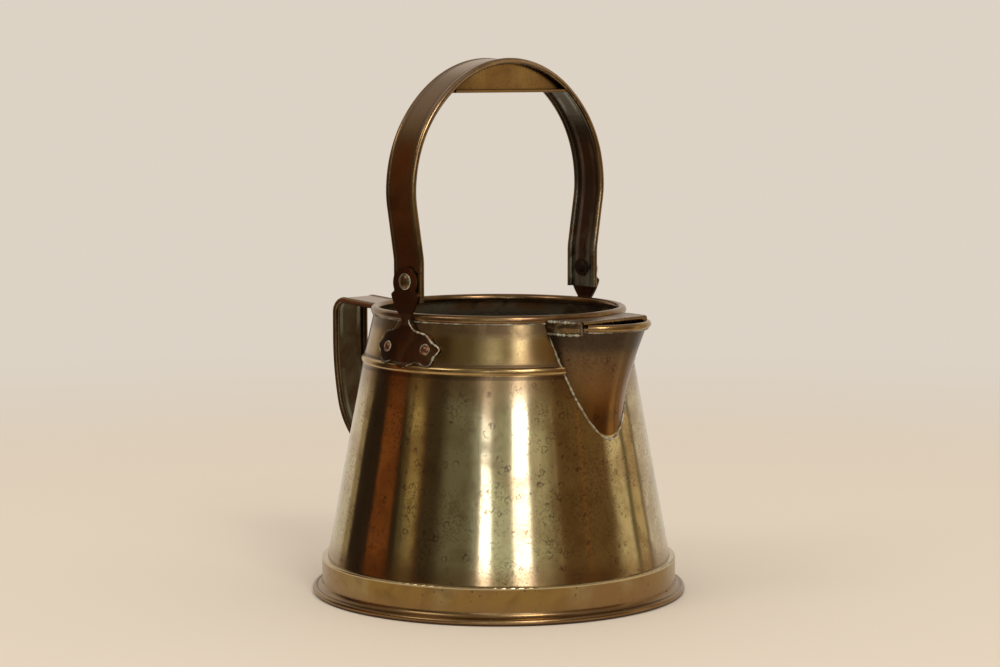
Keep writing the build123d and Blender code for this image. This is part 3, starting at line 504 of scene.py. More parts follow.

# Collar: the same brass, browner, with darker creases beside the bead and under the rim, a painted highlight
# on the bead's top, and inside a painted reflection, a pale strip under the rim, over brown and grey-green
underRim = ("rest", ("band", "Height", 0.2034, 0.2100, 0.0008))
rim = ("band", "Height", 0.2028, 0.2100, 0.0006)
highUp = ("rise", "Height", 0.192, 0.199)
collarLook = {
    "base": ("collarBrown", 0.17, 1.0),
    "layers": [
        ("oliveBrass", 0.6, 0.18, ("clouds", 9, 0.42, 0.62, 0.8, 8.0)),
        ("brownBrass", 0.75, 0.20, ("clouds", 26, 0.40, 0.68, 0.8, 9.0)),
        ("brownBrass", 0.30, 0.24, ("clouds", 520, 0.44, 0.62, 0.6, 3.0)),
        ("darkBrown", 0.5, 0.26, ("rings", 120, 0.30)),
        ("darkBrown", 0.8, 0.28, ("specks", 420, 0.30, 0.22)),
        ("brownBrass", 0.55, 0.28, ("band", "Height", 0.1700, 0.1752, 0.005)),
        ("darkBrown", 0.75, (0.4, 0.85), ("band", "Height", 0.1734, 0.1744, 0.0010)),
        ("darkBrown", 0.8, (0.36, 0.85), ("band", "Height", 0.1975, 0.2020, 0.007),
         ("clouds", 40, 0.25, 0.6)),
        ("brownBrass", 0.95, 0.26, rim),
        ("redBrown", 0.5, 0.24, rim, ("clouds", 60, 0.40, 0.60)),
        # painted highlight: warm brass in patches along the top of the bead
        ("warmBrass", 0.7, 0.19, ("band", "Height", 0.1682, 0.1725, 0.0008),
         ("clouds", 30, 0.38, 0.60, 0.5, 5.0, (9, 2, 1))),
        ("insideBrown", 1.0, (0.26, 0.9), inside, underRim),
        # painted reflection: a pale brass strip high inside the collar, under the rim
        ("cleanBrass", 0.75, (0.3, 0.9), inside, underRim, highUp),
        ("orange", 1.0, (0.34, 0.85), inside, underRim, highUp, ("clouds", 16, 0.40, 0.62)),
        ("greyGreen", 0.6, (0.34, 0.7), inside, underRim, ("clouds", 30, 0.44, 0.62, 0.5, 5.0, (3, 1, 2))),
        ("darkBrown", 0.8, 0.36, inside, underRim, ("clouds", 34, 0.50, 0.66, 0.5, 5.0, (3, 6, 2))),
    ],
    "relief": (0.000016, "round", 2.4, 0.5, 0.6),
}
collarMaterial = makeMetal("collarBrass", collarLook)

# Foot: golden brown band, purplish brown flange, a worn outer roll, a painted highlight along the band's top
# edge, dark underneath and inside
flange = ("band", "Height", -0.001, 0.0070, 0.0026)
footLook = {
    "base": ("footGold", 0.20, 1.0),
    "layers": [
        ("brownBrass", 0.75, 0.21, ("clouds", 12, 0.42, 0.62, 0.8, 8.0)),
        ("oliveBrass", 0.45, 0.20, ("clouds", 17, 0.46, 0.64, 0.8, 8.0, (6, 2, 9))),
        ("darkBrown", 0.35, 0.24, ("clouds", 44, 0.48, 0.72, 1.0, 8.0)),
        ("brownBrass", 0.25, 0.28, ("clouds", 330, 0.44, 0.70, 0.6, 4.0)),
        ("darkBrown", 0.8, (0.45, 0.8), ("specks", 220, 0.25, 0.3)),
        ("brownBrass", 0.75, 0.30, flange),
        ("redBrown", 0.5, 0.28, flange, ("clouds", 30, 0.42, 0.62, 0.5, 5.0, (4, 4, 1))),
        ("brownBrass", 0.45, 0.24, ("band", "Height", 0.0070, 0.0110, 0.006)),
        ("brownBrass", 0.5, 0.22, ("band", "Radius", 0.1345, 0.1370, 0.0006),
         ("band", "Height", 0.0020, 0.0050, 0.0006)),
        # painted highlight: a thin line of clean brass along the top edge of the band
        ("cleanBrass", 0.8, 0.2, ("band", "Height", 0.0240, 0.0258, 0.0004)),
        ("darkBrown", 1.0, (0.5, 0.7), ("band", "Height", -0.001, 0.0012, 0.0006)),
        ("darkBrown", 0.9, (0.55, 0.6), inside),
    ],
    "relief": (0.000016, "round", 1.6, 0.6, 0.8),
}
footMaterial = makeMetal("footBrass", footLook)

# Base: dull brown brass, above and below
baseLook = {
    "base": ("brownBrass", 0.45, 1.0),
    "layers": [
        ("darkBrown", 0.8, (0.55, 0.7), ("clouds", 18, 0.45, 0.62)),
        ("greyGreen", 0.6, (0.6, 0.4), ("clouds", 60, 0.52, 0.66)),
        ("nearBlack", 0.8, (0.6, 0.4), ("specks", 140, 0.3, 0.4)),
    ],
    "relief": (0.00003, "lengthwise", 1.5, 1.0, 1.6),
}
baseMaterial = makeMetal("baseBrass", baseLook)

# Spout: brown with an orange lower part, a golden lip, and painted shade making its inside nearly black
lipBand = ("band", "Height", 0.1982, 0.2040, 0.0005)
spoutLook = {
    "base": ("spoutBrown", 0.22, 1.0),
    "layers": [
        ("darkBrown", 0.6, 0.25, ("clouds", 22, 0.40, 0.62, 0.8, 8.0)),
        ("brownBrass", 0.5, 0.22, ("clouds", 28, 0.46, 0.70, 0.8, 8.0, (1, 4, 2))),
        ("darkBrown", 0.4, 0.30, ("clouds", 520, 0.44, 0.62, 0.6, 3.0)),
        ("lowOrange", 0.8, 0.2, ("rest", ("rise", "Height", 0.138, 0.192)), ("clouds", 24, 0.30, 0.55)),
        ("nearBlack", 0.6, 0.26, ("rings", 120, 0.34)),
        ("nearBlack", 0.8, (0.3, 0.9), ("specks", 300, 0.28, 0.3)),
        ("nearBlack", 0.55, (0.34, 0.85), ("band", "Height", 0.188, 0.1980, 0.010)),
        ("collarBrown", 1.0, 0.22, lipBand),
        ("brownBrass", 1.0, 0.26, lipBand, ("clouds", 60, 0.36, 0.58)),
        # painted shade: nearly black on the inner side of the scoop, below the lip
        ("nearBlack", 1.0, (0.5, 0.6), ("inward", (can["scoopCentre"], 0, 0)), ("rest", lipBand)),
    ],
    "relief": (0.000016, "round", 1.6, 0.5, 0.8),
}
spoutMaterial = makeMetal("spoutBrass", spoutLook)

# Bridge: reddish brown flaps, a darker worn top, and painted shade making them nearly black underneath
bridgeLook = {
    "base": ("brownBrass", 0.30, 1.0),
    "layers": [
        ("strapBrown", 0.75, 0.30, ("clouds", 40, 0.38, 0.62, 0.8, 8.0)),
        ("darkBrown", 0.8, 0.38, ("clouds", 110, 0.46, 0.64, 0.5, 5.0, (2, 2, 5))),
        ("verdigris", 0.3, (0.5, 0.5), ("clouds", 230, 0.54, 0.68, 0.5, 5.0, (7, 2, 5))),
        ("brownBrass", 0.6, 0.24, ("band", "X", 0.1085, 0.1125, 0.0006)),
        # painted shade: nearly black on the flaps' side that faces into the spout's hollow
        ("nearBlack", 0.9, (0.5, 0.6), ("inward", (can["scoopCentre"], 0, 0.190), full)),
    ],
    "relief": (0.00002, "round", 1.2, 0.6, 1.2),
}
bridgeMaterial = makeMetal("bridgeBrass", bridgeLook)

# Ears: dark brown patina with reddish streaks and worn edges
earLook = {
    "base": ("darkBrown", 0.30, 1.0),
    "layers": [
        ("redBrown", 0.75, 0.30, ("clouds", 60, 0.42, 0.64, 0.4, 8.0, origin, (1, 1, 0.18))),
        ("brownBrass", 0.6, 0.26, ("clouds", 45, 0.48, 0.68, 0.5, 5.0, (4, 1, 0), (1, 1, 0.35))),
        ("nearBlack", 0.6, (0.40, 0.85), ("clouds", 190, 0.50, 0.68)),
        ("brownBrass", 0.6, 0.28, ("specks", 300, 0.2, 0.3)),
    ],
    "relief": (0.00003, "upright", 1.4, 0.8, 1.2),
}
earMaterial = makeMetal("earBrass", earLook)

# The two straps: the place that tells how far a point lies from the strap's middle line, where the
# rolls start, the heights where the painted sheen on top of the bend sets in, the centre and axes that
# its inner side faces, and how worn and how bright the rolls, how dark the inner side and how mouldy its
# lower end are. The bands beside the rolls are given from where the rolls start
bailStrap = {
    "across": "AsideX", "rollAt": 0.0095, "sheenHeights": (0.328, 0.366), "centre": (0, 0, 0.27), "axes": (0, 1, 1),
    "wear": 0.7, "shine": 0.25, "innerTone": "strapGrey", "inner": 0.9, "mould": 0.6,
}
handleStrap = {
    "across": "AsideY", "rollAt": 0.0130, "sheenHeights": (0.196, 0.204), "centre": (-0.11, 0, 0.15),
    "axes": (1, 0, 1), "wear": 0.6, "shine": 0.15, "innerTone": "handleDark", "inner": 0.92, "mould": 0.10,
}
strapBands = {"worn": (0.0003, 0.0030), "grey": (-0.0050, -0.0032), "crease": (-0.0018, -0.0012)}


# Look of a strap: dark patina, rolled edges worn to brass, pale grey streaks beside them on the inner side,
# partly verdigris and partly painted glints, and a paler painted sheen on top of the bend
def strapLook(strap):
    bands = {}
    for key, limits in strapBands.items():
        bands[key] = (strap["across"], *(strap["rollAt"] + limit for limit in limits))
    innerSide = ("inward", strap["centre"], strap["axes"])
    worn = ("rise", *bands["worn"])
    layers = [
        ("redBrown", 0.4, 0.27, ("clouds", 20, 0.44, 0.66, 0.8, 8.0)),
        ("darkBrown", 0.5, 0.27, ("clouds", 31, 0.50, 0.70, 0.8, 8.0, (2, 3, 6))),
        ("brownBrass", 0.5, 0.24, ("clouds", 38, 0.50, 0.74, 0.8, 8.0, (5, 3, 1))),
        ("darkBrown", 0.3, (0.34, 0.9), ("clouds", 250, 0.50, 0.72)),
        ("brownBrass", 0.6, 0.24, ("band", "Height", 0.315, 0.345, 0.03),
         ("clouds", 24, 0.30, 0.60, 0.5, 5.0, (3, 3, 3))),
        ("darkBrown", 0.45, 0.27, ("band", "Height", 0.21, 0.245, 0.05)),
        (strap["innerTone"], strap["inner"], (0.24, 0.95), innerSide),
        ("darkBrown", 0.75, 0.3, innerSide, ("clouds", 26, 0.48, 0.70, 0.5, 5.0, (2, 7, 1))),
        ("verdigris", strap["mould"], (0.36, 0.8), innerSide, ("rest", ("rise", "Height", 0.225, 0.275)),
         ("clouds", 60, 0.40, 0.62, 0.5, 5.0, (4, 7, 1))),
        # pale grey streaks beside the rolls on the inner side: partly verdigris, partly painted glints
        ("paleGrey", 0.55, (0.3, 0.85), innerSide, ("band", *bands["grey"], 0.0012),
         ("clouds", 48, 0.40, 0.60, 0.5, 5.0, (9, 1, 1), (1, 1, 0.35))),
        # painted sheen: a paler top on the bend, standing for the pale room that it reflects
        ("paintedTopSheen", 0.72, 0.25, ("rise", "Height", *strap["sheenHeights"]), ("rest", innerSide)),
        ("brownBrass", strap["wear"], 0.24, worn,
         ("clouds", 45, 0.30, 0.62, 0.5, 5.0, (1, 1, 8), (1, 1, 0.5))),
        ("warmBrass", strap["shine"], 0.22, worn,
         ("clouds", 150, 0.48, 0.62, 0.5, 5.0, (6, 1, 8), (1, 1, 0.2))),
        ("nearBlack", 0.45, (0.4, 0.8), ("band", *bands["crease"], 0.0007)),
    ]
    relief = (0.00003, "upright", 1.5, 0.8, 1.0)
    return {"base": ("strapBrown", 0.25, 1.0), "layers": layers, "relief": relief}


bailMaterial = makeMetal("bailBrass", strapLook(bailStrap))
handleMaterial = makeMetal("handleBrass", strapLook(handleStrap))

# Grip: golden brown webs, darker at their ends, with a worn lower edge
gripLook = {
    "base": ("gripBrown", 0.27, 1.0),
    "layers": [
        ("warmBrass", 0.2, 0.26, ("clouds", 30, 0.44, 0.70, 0.8, 8.0)),
        ("redBrown", 0.35, 0.3, ("clouds", 45, 0.48, 0.74, 0.8, 8.0, (3, 3, 1))),
        ("darkBrown", 0.7, 0.34, ("rise", "AsideY", 0.026, 0.062)),
        ("darkBrown", 0.25, 0.34, ("clouds", 250, 0.50, 0.72)),
        ("darkBrown", 0.5, (0.4, 0.8), ("specks", 260, 0.25, 0.2)),
        ("brownBrass", 0.6, 0.24, ("band", "Height", 0.3605, 0.3630, 0.0004)),
    ],
    "relief": (0.00003, "sideways", 1.0, 0.8, 1.0),
}
gripMaterial = makeMetal("gripBrass", gripLook)


# Look of rivets and washers: worn pale on top, brown round the rim, dark where the tail is closed
def rivetLook(tone, worn):
    layers = [
        (worn, 0.5, (0.32, 0.9), ("clouds", 190, 0.50, 0.66)),
        ("darkBrown", 0.7, (0.4, 0.9), ("clouds", 260, 0.50, 0.66, 0.5, 5.0, (3, 2, 1))),
        ("nearBlack", 0.85, (0.36, 0.9), ("rise", "Height", 0.215, 0.220),
         ("rest", ("rise", "AsideY", 0.0915, 0.0925))),
    ]
    return {"base": (tone, 0.28, 1.0), "layers": layers, "relief": (0.00004, "none", 0.6, 0.5, 1.8)}


rivetMaterial = makeMetal("rivetCopper", rivetLook("copper", "paleCopper"))
pivotMaterial = makeMetal("pivotCopper", rivetLook("strapBrown", "copper"))
washerMaterial = makeMetal("washerBrass", rivetLook("brownBrass", "darkBrown"))

# Iron wire: dark, with a little rust
wireLook = {
    "base": ("iron", 0.5, 0.9),
    "layers": [("orange", 0.8, (0.75, 0.2), ("clouds", 120, 0.48, 0.62))],
    "relief": (0.00003, "none", 0.5, 0.5, 2.0),
}
wireMaterial = makeMetal("ironWire", wireLook)


# Look of solder and verdigris: crust of one tone, clouds of a second, brown in its hollows
def crustLook(tone, second, dirt):
    layers = [
        (second, 0.8, (0.6, 0.3), ("clouds", 200, 0.40, 0.60)),
        ("brownBrass", dirt, (0.45, 0.6), ("clouds", 330, 0.44, 0.60, 0.5, 5.0, (1, 2, 3))),
        ("darkBrown", dirt, (0.45, 0.6), ("clouds", 70, 0.46, 0.60, 0.5, 5.0, (5, 2, 3))),
    ]
    return {"base": (tone, 0.55, 0.35), "layers": layers, "relief": (0.00005, "none", 0.5, 0.5, 3.0)}


crustMaterial = makeMetal("paleCrust", crustLook("paleCrust", "verdigris", 0.8))
greenMaterial = makeMetal("greenCrust", crustLook("verdigris", "paleCrust", 0.7))
brazeMaterial = makeMetal("brazedSeam", crustLook("oliveBrass", "warmBrass", 0.35))
print("materials made")

nodeMaterials = {
    "body_cone": bodyMaterial,
    "collar": collarMaterial,
    "foot_skirt": footMaterial,
    "base_plate": baseMaterial,
    "spout": spoutMaterial,
    "spout_bridge": bridgeMaterial,
    "ear_near": earMaterial,
    "ear_far": earMaterial,
    "bail_strap": bailMaterial,
    "back_handle": handleMaterial,
    "grip_floor": gripMaterial,
    "grip_web_front": gripMaterial,
    "grip_web_back": gripMaterial,
    "ear_rivets": rivetMaterial,
    "handle_rivets": rivetMaterial,
    "pivot_rivets": pivotMaterial,
    "rivet_roves": rivetMaterial,
    "pivot_washers": washerMaterial,
}
for nodeName, node in nodes.items():
    node.data.materials.clear()
    node.data.materials.append(nodeMaterials.get(nodeName, wireMaterial))
print("materials on", len(nodes), "nodes")

# Solder and crust: one look for all beads, changed where a seam is heavier
seamLook = {
    "width": 0.0015, "height": 0.0006, "lumps": 0.45, "lumpLength": 9, "taper": 12, "wander": 0.00015,
    "grain": 0.12, "sides": 10, "swell": 1.0,
}

# The can's two sides: the sign of y, and the word that their pieces' names end with
sides = ((-1, "Near"), (1, "Far"))

# Spout's seam: down one side of the spout, round its toe and up the other side, on the can's skin
spoutSeam = {
    "toe": 0.1205, "rim": 0.2003, "halfTurn": 25.6, "power": 0.55, "top": 0.1945, "below": 0.0006,
    "climb": 1.6, "aside": 0.006, "lift": 0.0002, "tilt": 0.02, "count": 520, "seed": 11,
}
level = np.linspace(-1, 1, spoutSeam["count"])
climb = (spoutSeam["top"] - spoutSeam["toe"]) * np.abs(level) ** spoutSeam["climb"]
seamHeight = spoutSeam["toe"] - spoutSeam["below"] + climb
share = np.clip((seamHeight - spoutSeam["toe"]) / (spoutSeam["rim"] - spoutSeam["toe"]), 0, 1)
seamHalf = np.radians(spoutSeam["halfTurn"]) * share ** spoutSeam["power"] + spoutSeam["aside"]
seamTurn = np.sign(level) * seamHalf
seamPath = evenSteps(onSkin(seamTurn, seamHeight, spoutSeam["lift"]), spoutSeam["count"])
seamOut = unit(seamPath * [1, 1, 0] + [0, 0, spoutSeam["tilt"]])
beadAlong("spoutSeamSolder", seamPath, seamOut, seamLook, crustMaterial, spoutSeam["seed"])

# Ear's edge: crust round the leaf, from one side of the neck down round the pendant to the other,
# lying on the skin or on the bead, whichever stands out further. Half of the outline is in millimetres
# from the middle of the leaf
earEdge = {
    "middle": 0.184,
    "half": [
        (0.0, -13.6), (5.5, -11.4), (12.0, -9.2), (21.5, -11.4), (25.4, -5.2), (29.7, 0.6), (24.6, 4.8),
        (20.6, 9.4), (17.4, 10.9), (9.8, 12.8), (5.6, 17.2), (4.9, 20.3),
    ],
    "halfCount": 220, "count": 520, "lift": 0.0010, "widen": 1.012, "thinAt": -0.022, "thinEnd": 0.35,
    "seed": 21,
}
earBead = {**seamLook, "width": 0.0012, "height": 0.0008, "lumps": 0.6, "taper": 20}
halfEdge = smoothThrough([(x / 1000, 0, z / 1000) for x, z in earEdge["half"]], earEdge["halfCount"])
wholeEdge = np.vstack([halfEdge[:0:-1] * [-1, 1, 1], halfEdge])
edgeHeight = wholeEdge[:, 2] + earEdge["middle"]
beadSquare = can["beadRadius"] ** 2 - (edgeHeight - can["beadHeight"]) ** 2
beadOver = np.sqrt(np.clip(beadSquare, 0, None)) + can["beadCentre"]
edgeRadius = np.maximum(canRadius(edgeHeight), beadOver) + earEdge["lift"]
edgeAside = np.sqrt(edgeRadius**2 - wholeEdge[:, 0] ** 2)
for side, label in sides:
    edge = np.stack([wholeEdge[:, 0] * earEdge["widen"], side * edgeAside, edgeHeight], -1)
    edgePath = evenSteps(edge, earEdge["count"])
    swell = np.interp(edgePath[:, 0], [earEdge["thinAt"], 0.0], [earEdge["thinEnd"], 1.0])
    look = {**earBead, "swell": swell}
    name, seed = f"earCrust{label}", earEdge["seed"] + side
    beadAlong(name, edgePath, awayFromAxis(edgePath), look, crustMaterial, seed)

# Rim: a thin green line in the crease under the rolled rim, all the way round
rimLine = {"height": 0.2024, "lift": 0.0001, "count": 900, "seed": 31}
rimLook = {**seamLook, "width": 0.0012, "height": 0.0007, "lumps": 0.7, "wander": 0.0001}
rimTurn = np.linspace(0, 2 * np.pi, rimLine["count"], endpoint=False)
rimPath = onSkin(rimTurn, rimLine["height"] + 0 * rimTurn, rimLine["lift"])
rimOut = awayFromAxis(rimPath)
beadAlong("rimCrust", rimPath, rimOut, rimLook, greenMaterial, rimLine["seed"], closed=True)

# Lip: a pale line under the spout's rolled lip, on an arc round the middle of the scoop
lip = {"radius": 0.0398, "height": 0.1977, "halfTurn": 57, "count": 260, "seed": 41}
lipLook = {**seamLook, "width": 0.0014, "height": 0.0007, "lumps": 0.6}
lipTurn = np.radians(np.linspace(-lip["halfTurn"], lip["halfTurn"], lip["count"]))
lipOut = np.stack([np.cos(lipTurn), np.sin(lipTurn), 0 * lipTurn], -1)
lipPath = lip["radius"] * lipOut + [can["scoopCentre"], 0, lip["height"]]
beadAlong("lipCrust", lipPath, lipOut, lipLook, crustMaterial, lip["seed"])

# Rivets: where their heads sit, how thick the plate under them is, and the rings of crust round them
rivetSeats = {
    "spread": 0.018, "height": 0.1834, "plate": 0.0019, "ring": 0.0037, "pivot": 0.0962, "pivotRing": 0.0055,
    "seed": 50, "pivotSeed": 61,
}
ringLook = {
    **seamLook, "width": 0.0009, "height": 0.0006, "lumps": 0.5, "wander": 0.0001, "sides": 8, "count": 72,
    "least": 0.24, "most": 1.0,
}


# Ring of crust: a circle round a head, in the plane square to the outward direction, which swells
# from least to most with the cosine of the turn
def ringBead(name, centre, outward, radius, seed):
    out = unit(np.array(outward, float))
    side = unit(np.cross(out, [0.0, 0.0, 1.0]))
    up = np.cross(side, out)
    turn = np.linspace(0, 2 * np.pi, ringLook["count"], endpoint=False)[:, None]
    ring = np.asarray(centre) + radius * (np.cos(turn) * side + np.sin(turn) * up)
    middle, half = (ringLook["most"] + ringLook["least"]) / 2, (ringLook["most"] - ringLook["least"]) / 2
    look = {**ringLook, "swell": middle + half * np.cos(turn[:, 0] - seed)}
    outRows = np.broadcast_to(out, ring.shape)
    beadAlong(name, ring, outRows, look, crustMaterial, seed, closed=True)


(lowAt, lowRadius), (highAt, highRadius) = can["collarLow"], can["collarHigh"]
collarSlope = (lowRadius - highRadius) / (highAt - lowAt)
for side, label in sides:
    for end, endLabel in ((-1, "Back"), (1, "Front")):
        seatRadius = canRadius(rivetSeats["height"])
        seatTurn = side * (np.pi / 2 - end * np.arcsin(rivetSeats["spread"] / seatRadius))
        seatOut = unit(np.array([np.cos(seatTurn), np.sin(seatTurn), collarSlope]))
        seat = onSkin(seatTurn, rivetSeats["height"]) + seatOut * rivetSeats["plate"]
        seed = rivetSeats["seed"] + side + 3 * end
        ringBead(f"rivetRing{label}{endLabel}", seat, seatOut, rivetSeats["ring"], seed)
    pivotSeat = (0, side * rivetSeats["pivot"], can["pivotHeight"])
    seed = rivetSeats["pivotSeed"] + side
    ringBead(f"pivotRing{label}", pivotSeat, (0, side, 0), rivetSeats["pivotRing"], seed)

# Bridge: crumbled solder along the top edge, the low edge and the front edge of both flaps
bridge = {
    "radius": 0.0404, "top": 0.2040, "low": 0.1956, "front": 0.1102, "from": 97.0, "to": 59.0,
    "topTilt": 1.0, "lowLift": 0.0002, "frontInset": 0.0006, "frontDrop": 0.0004, "frontOut": (0.6, 0.8),
    "count": 150, "frontCount": 40, "seeds": (71, 75, 79),
}
flapLook = {
    **seamLook, "width": 0.0014, "height": 0.0007, "lumps": 0.8, "lumpLength": 13, "grain": 0.25, "taper": 20,
}
lowFlapLook = {**flapLook, "width": 0.0012, "height": 0.0006}
frontReach = bridge["front"] - bridge["frontInset"] - can["scoopCentre"]
frontHeight = np.linspace(bridge["low"], bridge["top"] - bridge["frontDrop"], bridge["frontCount"])
for side, label in sides:
    flapTurn = side * np.radians(np.linspace(bridge["from"], bridge["to"], bridge["count"]))
    flapOut = np.stack([np.cos(flapTurn), np.sin(flapTurn), 0 * flapTurn], -1)
    topPath = bridge["radius"] * flapOut + [can["scoopCentre"], 0, bridge["top"]]
    lowPath = (bridge["radius"] + bridge["lowLift"]) * flapOut + [can["scoopCentre"], 0, bridge["low"]]
    frontAside = side * np.sqrt(bridge["radius"] ** 2 - frontReach**2)
    frontPath = np.stack([bridge["front"] + 0 * frontHeight, frontAside + 0 * frontHeight, frontHeight], -1)
    frontOut = np.broadcast_to([bridge["frontOut"][0], side * bridge["frontOut"][1], 0.0], frontPath.shape)
    seams = (
        ("Top", topPath, flapOut + [0, 0, bridge["topTilt"]], flapLook, crustMaterial),
        ("Low", lowPath, flapOut, lowFlapLook, greenMaterial),
        ("Front", frontPath, frontOut, flapLook, crustMaterial),
    )
    for (place, path, outward, look, material), seed in zip(seams, bridge["seeds"]):
        beadAlong(f"bridge{place}Solder{label}", path, outward, look, material, seed + side)

# Handle: solder beside its two pads, between the heights given for each
pads = {
    "upper": (0.1835, 0.2000), "lower": (0.0580, 0.0860), "half": 0.0153, "lift": 0.0003, "count": 90,
    "seed": 83,
}
padLook = {**seamLook, "width": 0.0014, "lumps": 0.5}
for padLabel in ("upper", "lower"):
    for side, label in sides:
        padHeight = np.linspace(*pads[padLabel], pads["count"])
        padTurn = np.pi - side * np.arcsin(pads["half"] / canRadius(padHeight))
        padPath = onSkin(padTurn, padHeight, pads["lift"])
        name, seed = f"{padLabel}PadSolder{label}", pads["seed"] + side
        beadAlong(name, padPath, awayFromAxis(padPath), padLook, crustMaterial, seed)

# Brazed lap seam up the body behind the handle: a low ridge on the skin, whose height falls from the
# middle with the fourth power and whose edges and height swing with smooth random rows
lap = {
    "low": 0.0262, "high": 0.1660, "width": 0.0050, "rise": 0.00022, "sink": 0.00002, "rows": 320,
    "columns": 14, "edge": {"swing": 0.10, "lumpLength": 15, "seed": 91},
    "top": {"swing": 0.3, "lumpLength": 9, "seed": 92},
}
lapHeight = np.linspace(lap["low"], lap["high"], lap["rows"])[:, None]
lapShare = np.linspace(-1, 1, lap["columns"])[None, :]
edgeSwing, topSwing = (
    1 + part["swing"] * lumpyRow(lap["rows"], part["lumpLength"], part["seed"])[:, None]
    for part in (lap["edge"], lap["top"])
)
lapTurn = np.pi + lap["width"] / 2 * edgeSwing * lapShare / canRadius(lapHeight)
lapLift = lap["rise"] * (1 - lapShare**4) * topSwing - lap["sink"]
gridPiece("bodySeam", onSkin(lapTurn, lapHeight + 0 * lapShare, lapLift), brazeMaterial, "can")
print("solder beads made")

# Camera: where the photograph was taken from, its turn and its downward pitch in degrees
view = {"place": (1.2758, -1.3667, 0.3772), "pitch": 5.81, "turn": 43.0, "lens": 93.2, "sensor": 36.0}
cameraData = bpy.data.cameras.new("photoCamera")
cameraData.lens = view["lens"]
cameraData.sensor_width = view["sensor"]
camera = bpy.data.objects.new("photoCamera", cameraData)
camera.location = view["place"]
turn, pitch = np.radians(view["turn"]), np.radians(view["pitch"])
ahead = Vector((-np.sin(turn) * np.cos(pitch), np.cos(turn) * np.cos(pitch), -np.sin(pitch)))
camera.rotation_euler = ahead.to_track_quat("-Z", "Y").to_euler()
bpy.context.scene.collection.objects.link(camera)
bpy.context.scene.camera = camera
bpy.context.scene.view_settings.view_transform = "Standard"

# Floor: a pale sheet that goes over into the background's colour with distance, and lets the rays
# that metal mirrors through from a little way off
studio = {
    "floorColor": (0.74, 0.64, 0.52, 1), "background": (0.72, 0.65, 0.56, 1), "roughness": 0.8,
    "fadeFrom": 0.5, "fadeTo": 1.7, "openFrom": 0.30, "openTo": 0.42,
    "rings": (0.0, 0.4, 0.8, 1.4, 2.4, 3.6, 5.0), "spokes": 97, "drop": 0.0002,
}
floorTurn = np.linspace(0, 2 * np.pi, studio["spokes"])
floorReach = np.array(studio["rings"])[:, None]
floorGrid = [floorReach * np.cos(floorTurn), floorReach * np.sin(floorTurn), 0 * floorReach * floorTurn]
floorPoints = np.stack(floorGrid, -1) - [0, 0, studio["drop"]]
floorMaterial = bpy.data.materials.new("paleFloor")
floorMaterial.use_nodes = True
tree = floorMaterial.node_tree
nearFloor = tree.nodes["Principled BSDF"]
put(tree, nearFloor.inputs["Base Color"], studio["floorColor"])
put(tree, nearFloor.inputs["Roughness"], studio["roughness"])
away = vectorCalc(tree, "LENGTH", addNode(tree, "TexCoord").outputs["Object"])
farFloor = addNode(tree, "Emission", {"Color": studio["background"]})
fade = rise(tree, away, studio["fadeFrom"], studio["fadeTo"])
sheet = addNode(tree, "MixShader", {0: fade, 1: nearFloor.outputs[0], 2: farFloor.outputs[0]})
rays = addNode(tree, "LightPath").outputs
mirrored = calc(tree, "MAXIMUM", rays["Is Glossy Ray"], rays["Is Transmission Ray"])
opened = calc(tree, "MULTIPLY", rise(tree, away, studio["openFrom"], studio["openTo"]), mirrored)
through = addNode(tree, "BsdfTransparent")
lastMix = addNode(tree, "MixShader", {0: opened, 1: sheet.outputs[0], 2: through.outputs[0]})
put(tree, tree.nodes["Material Output"].inputs["Surface"], lastMix.outputs[0])
floor = gridPiece("floor", floorPoints, floorMaterial, None)

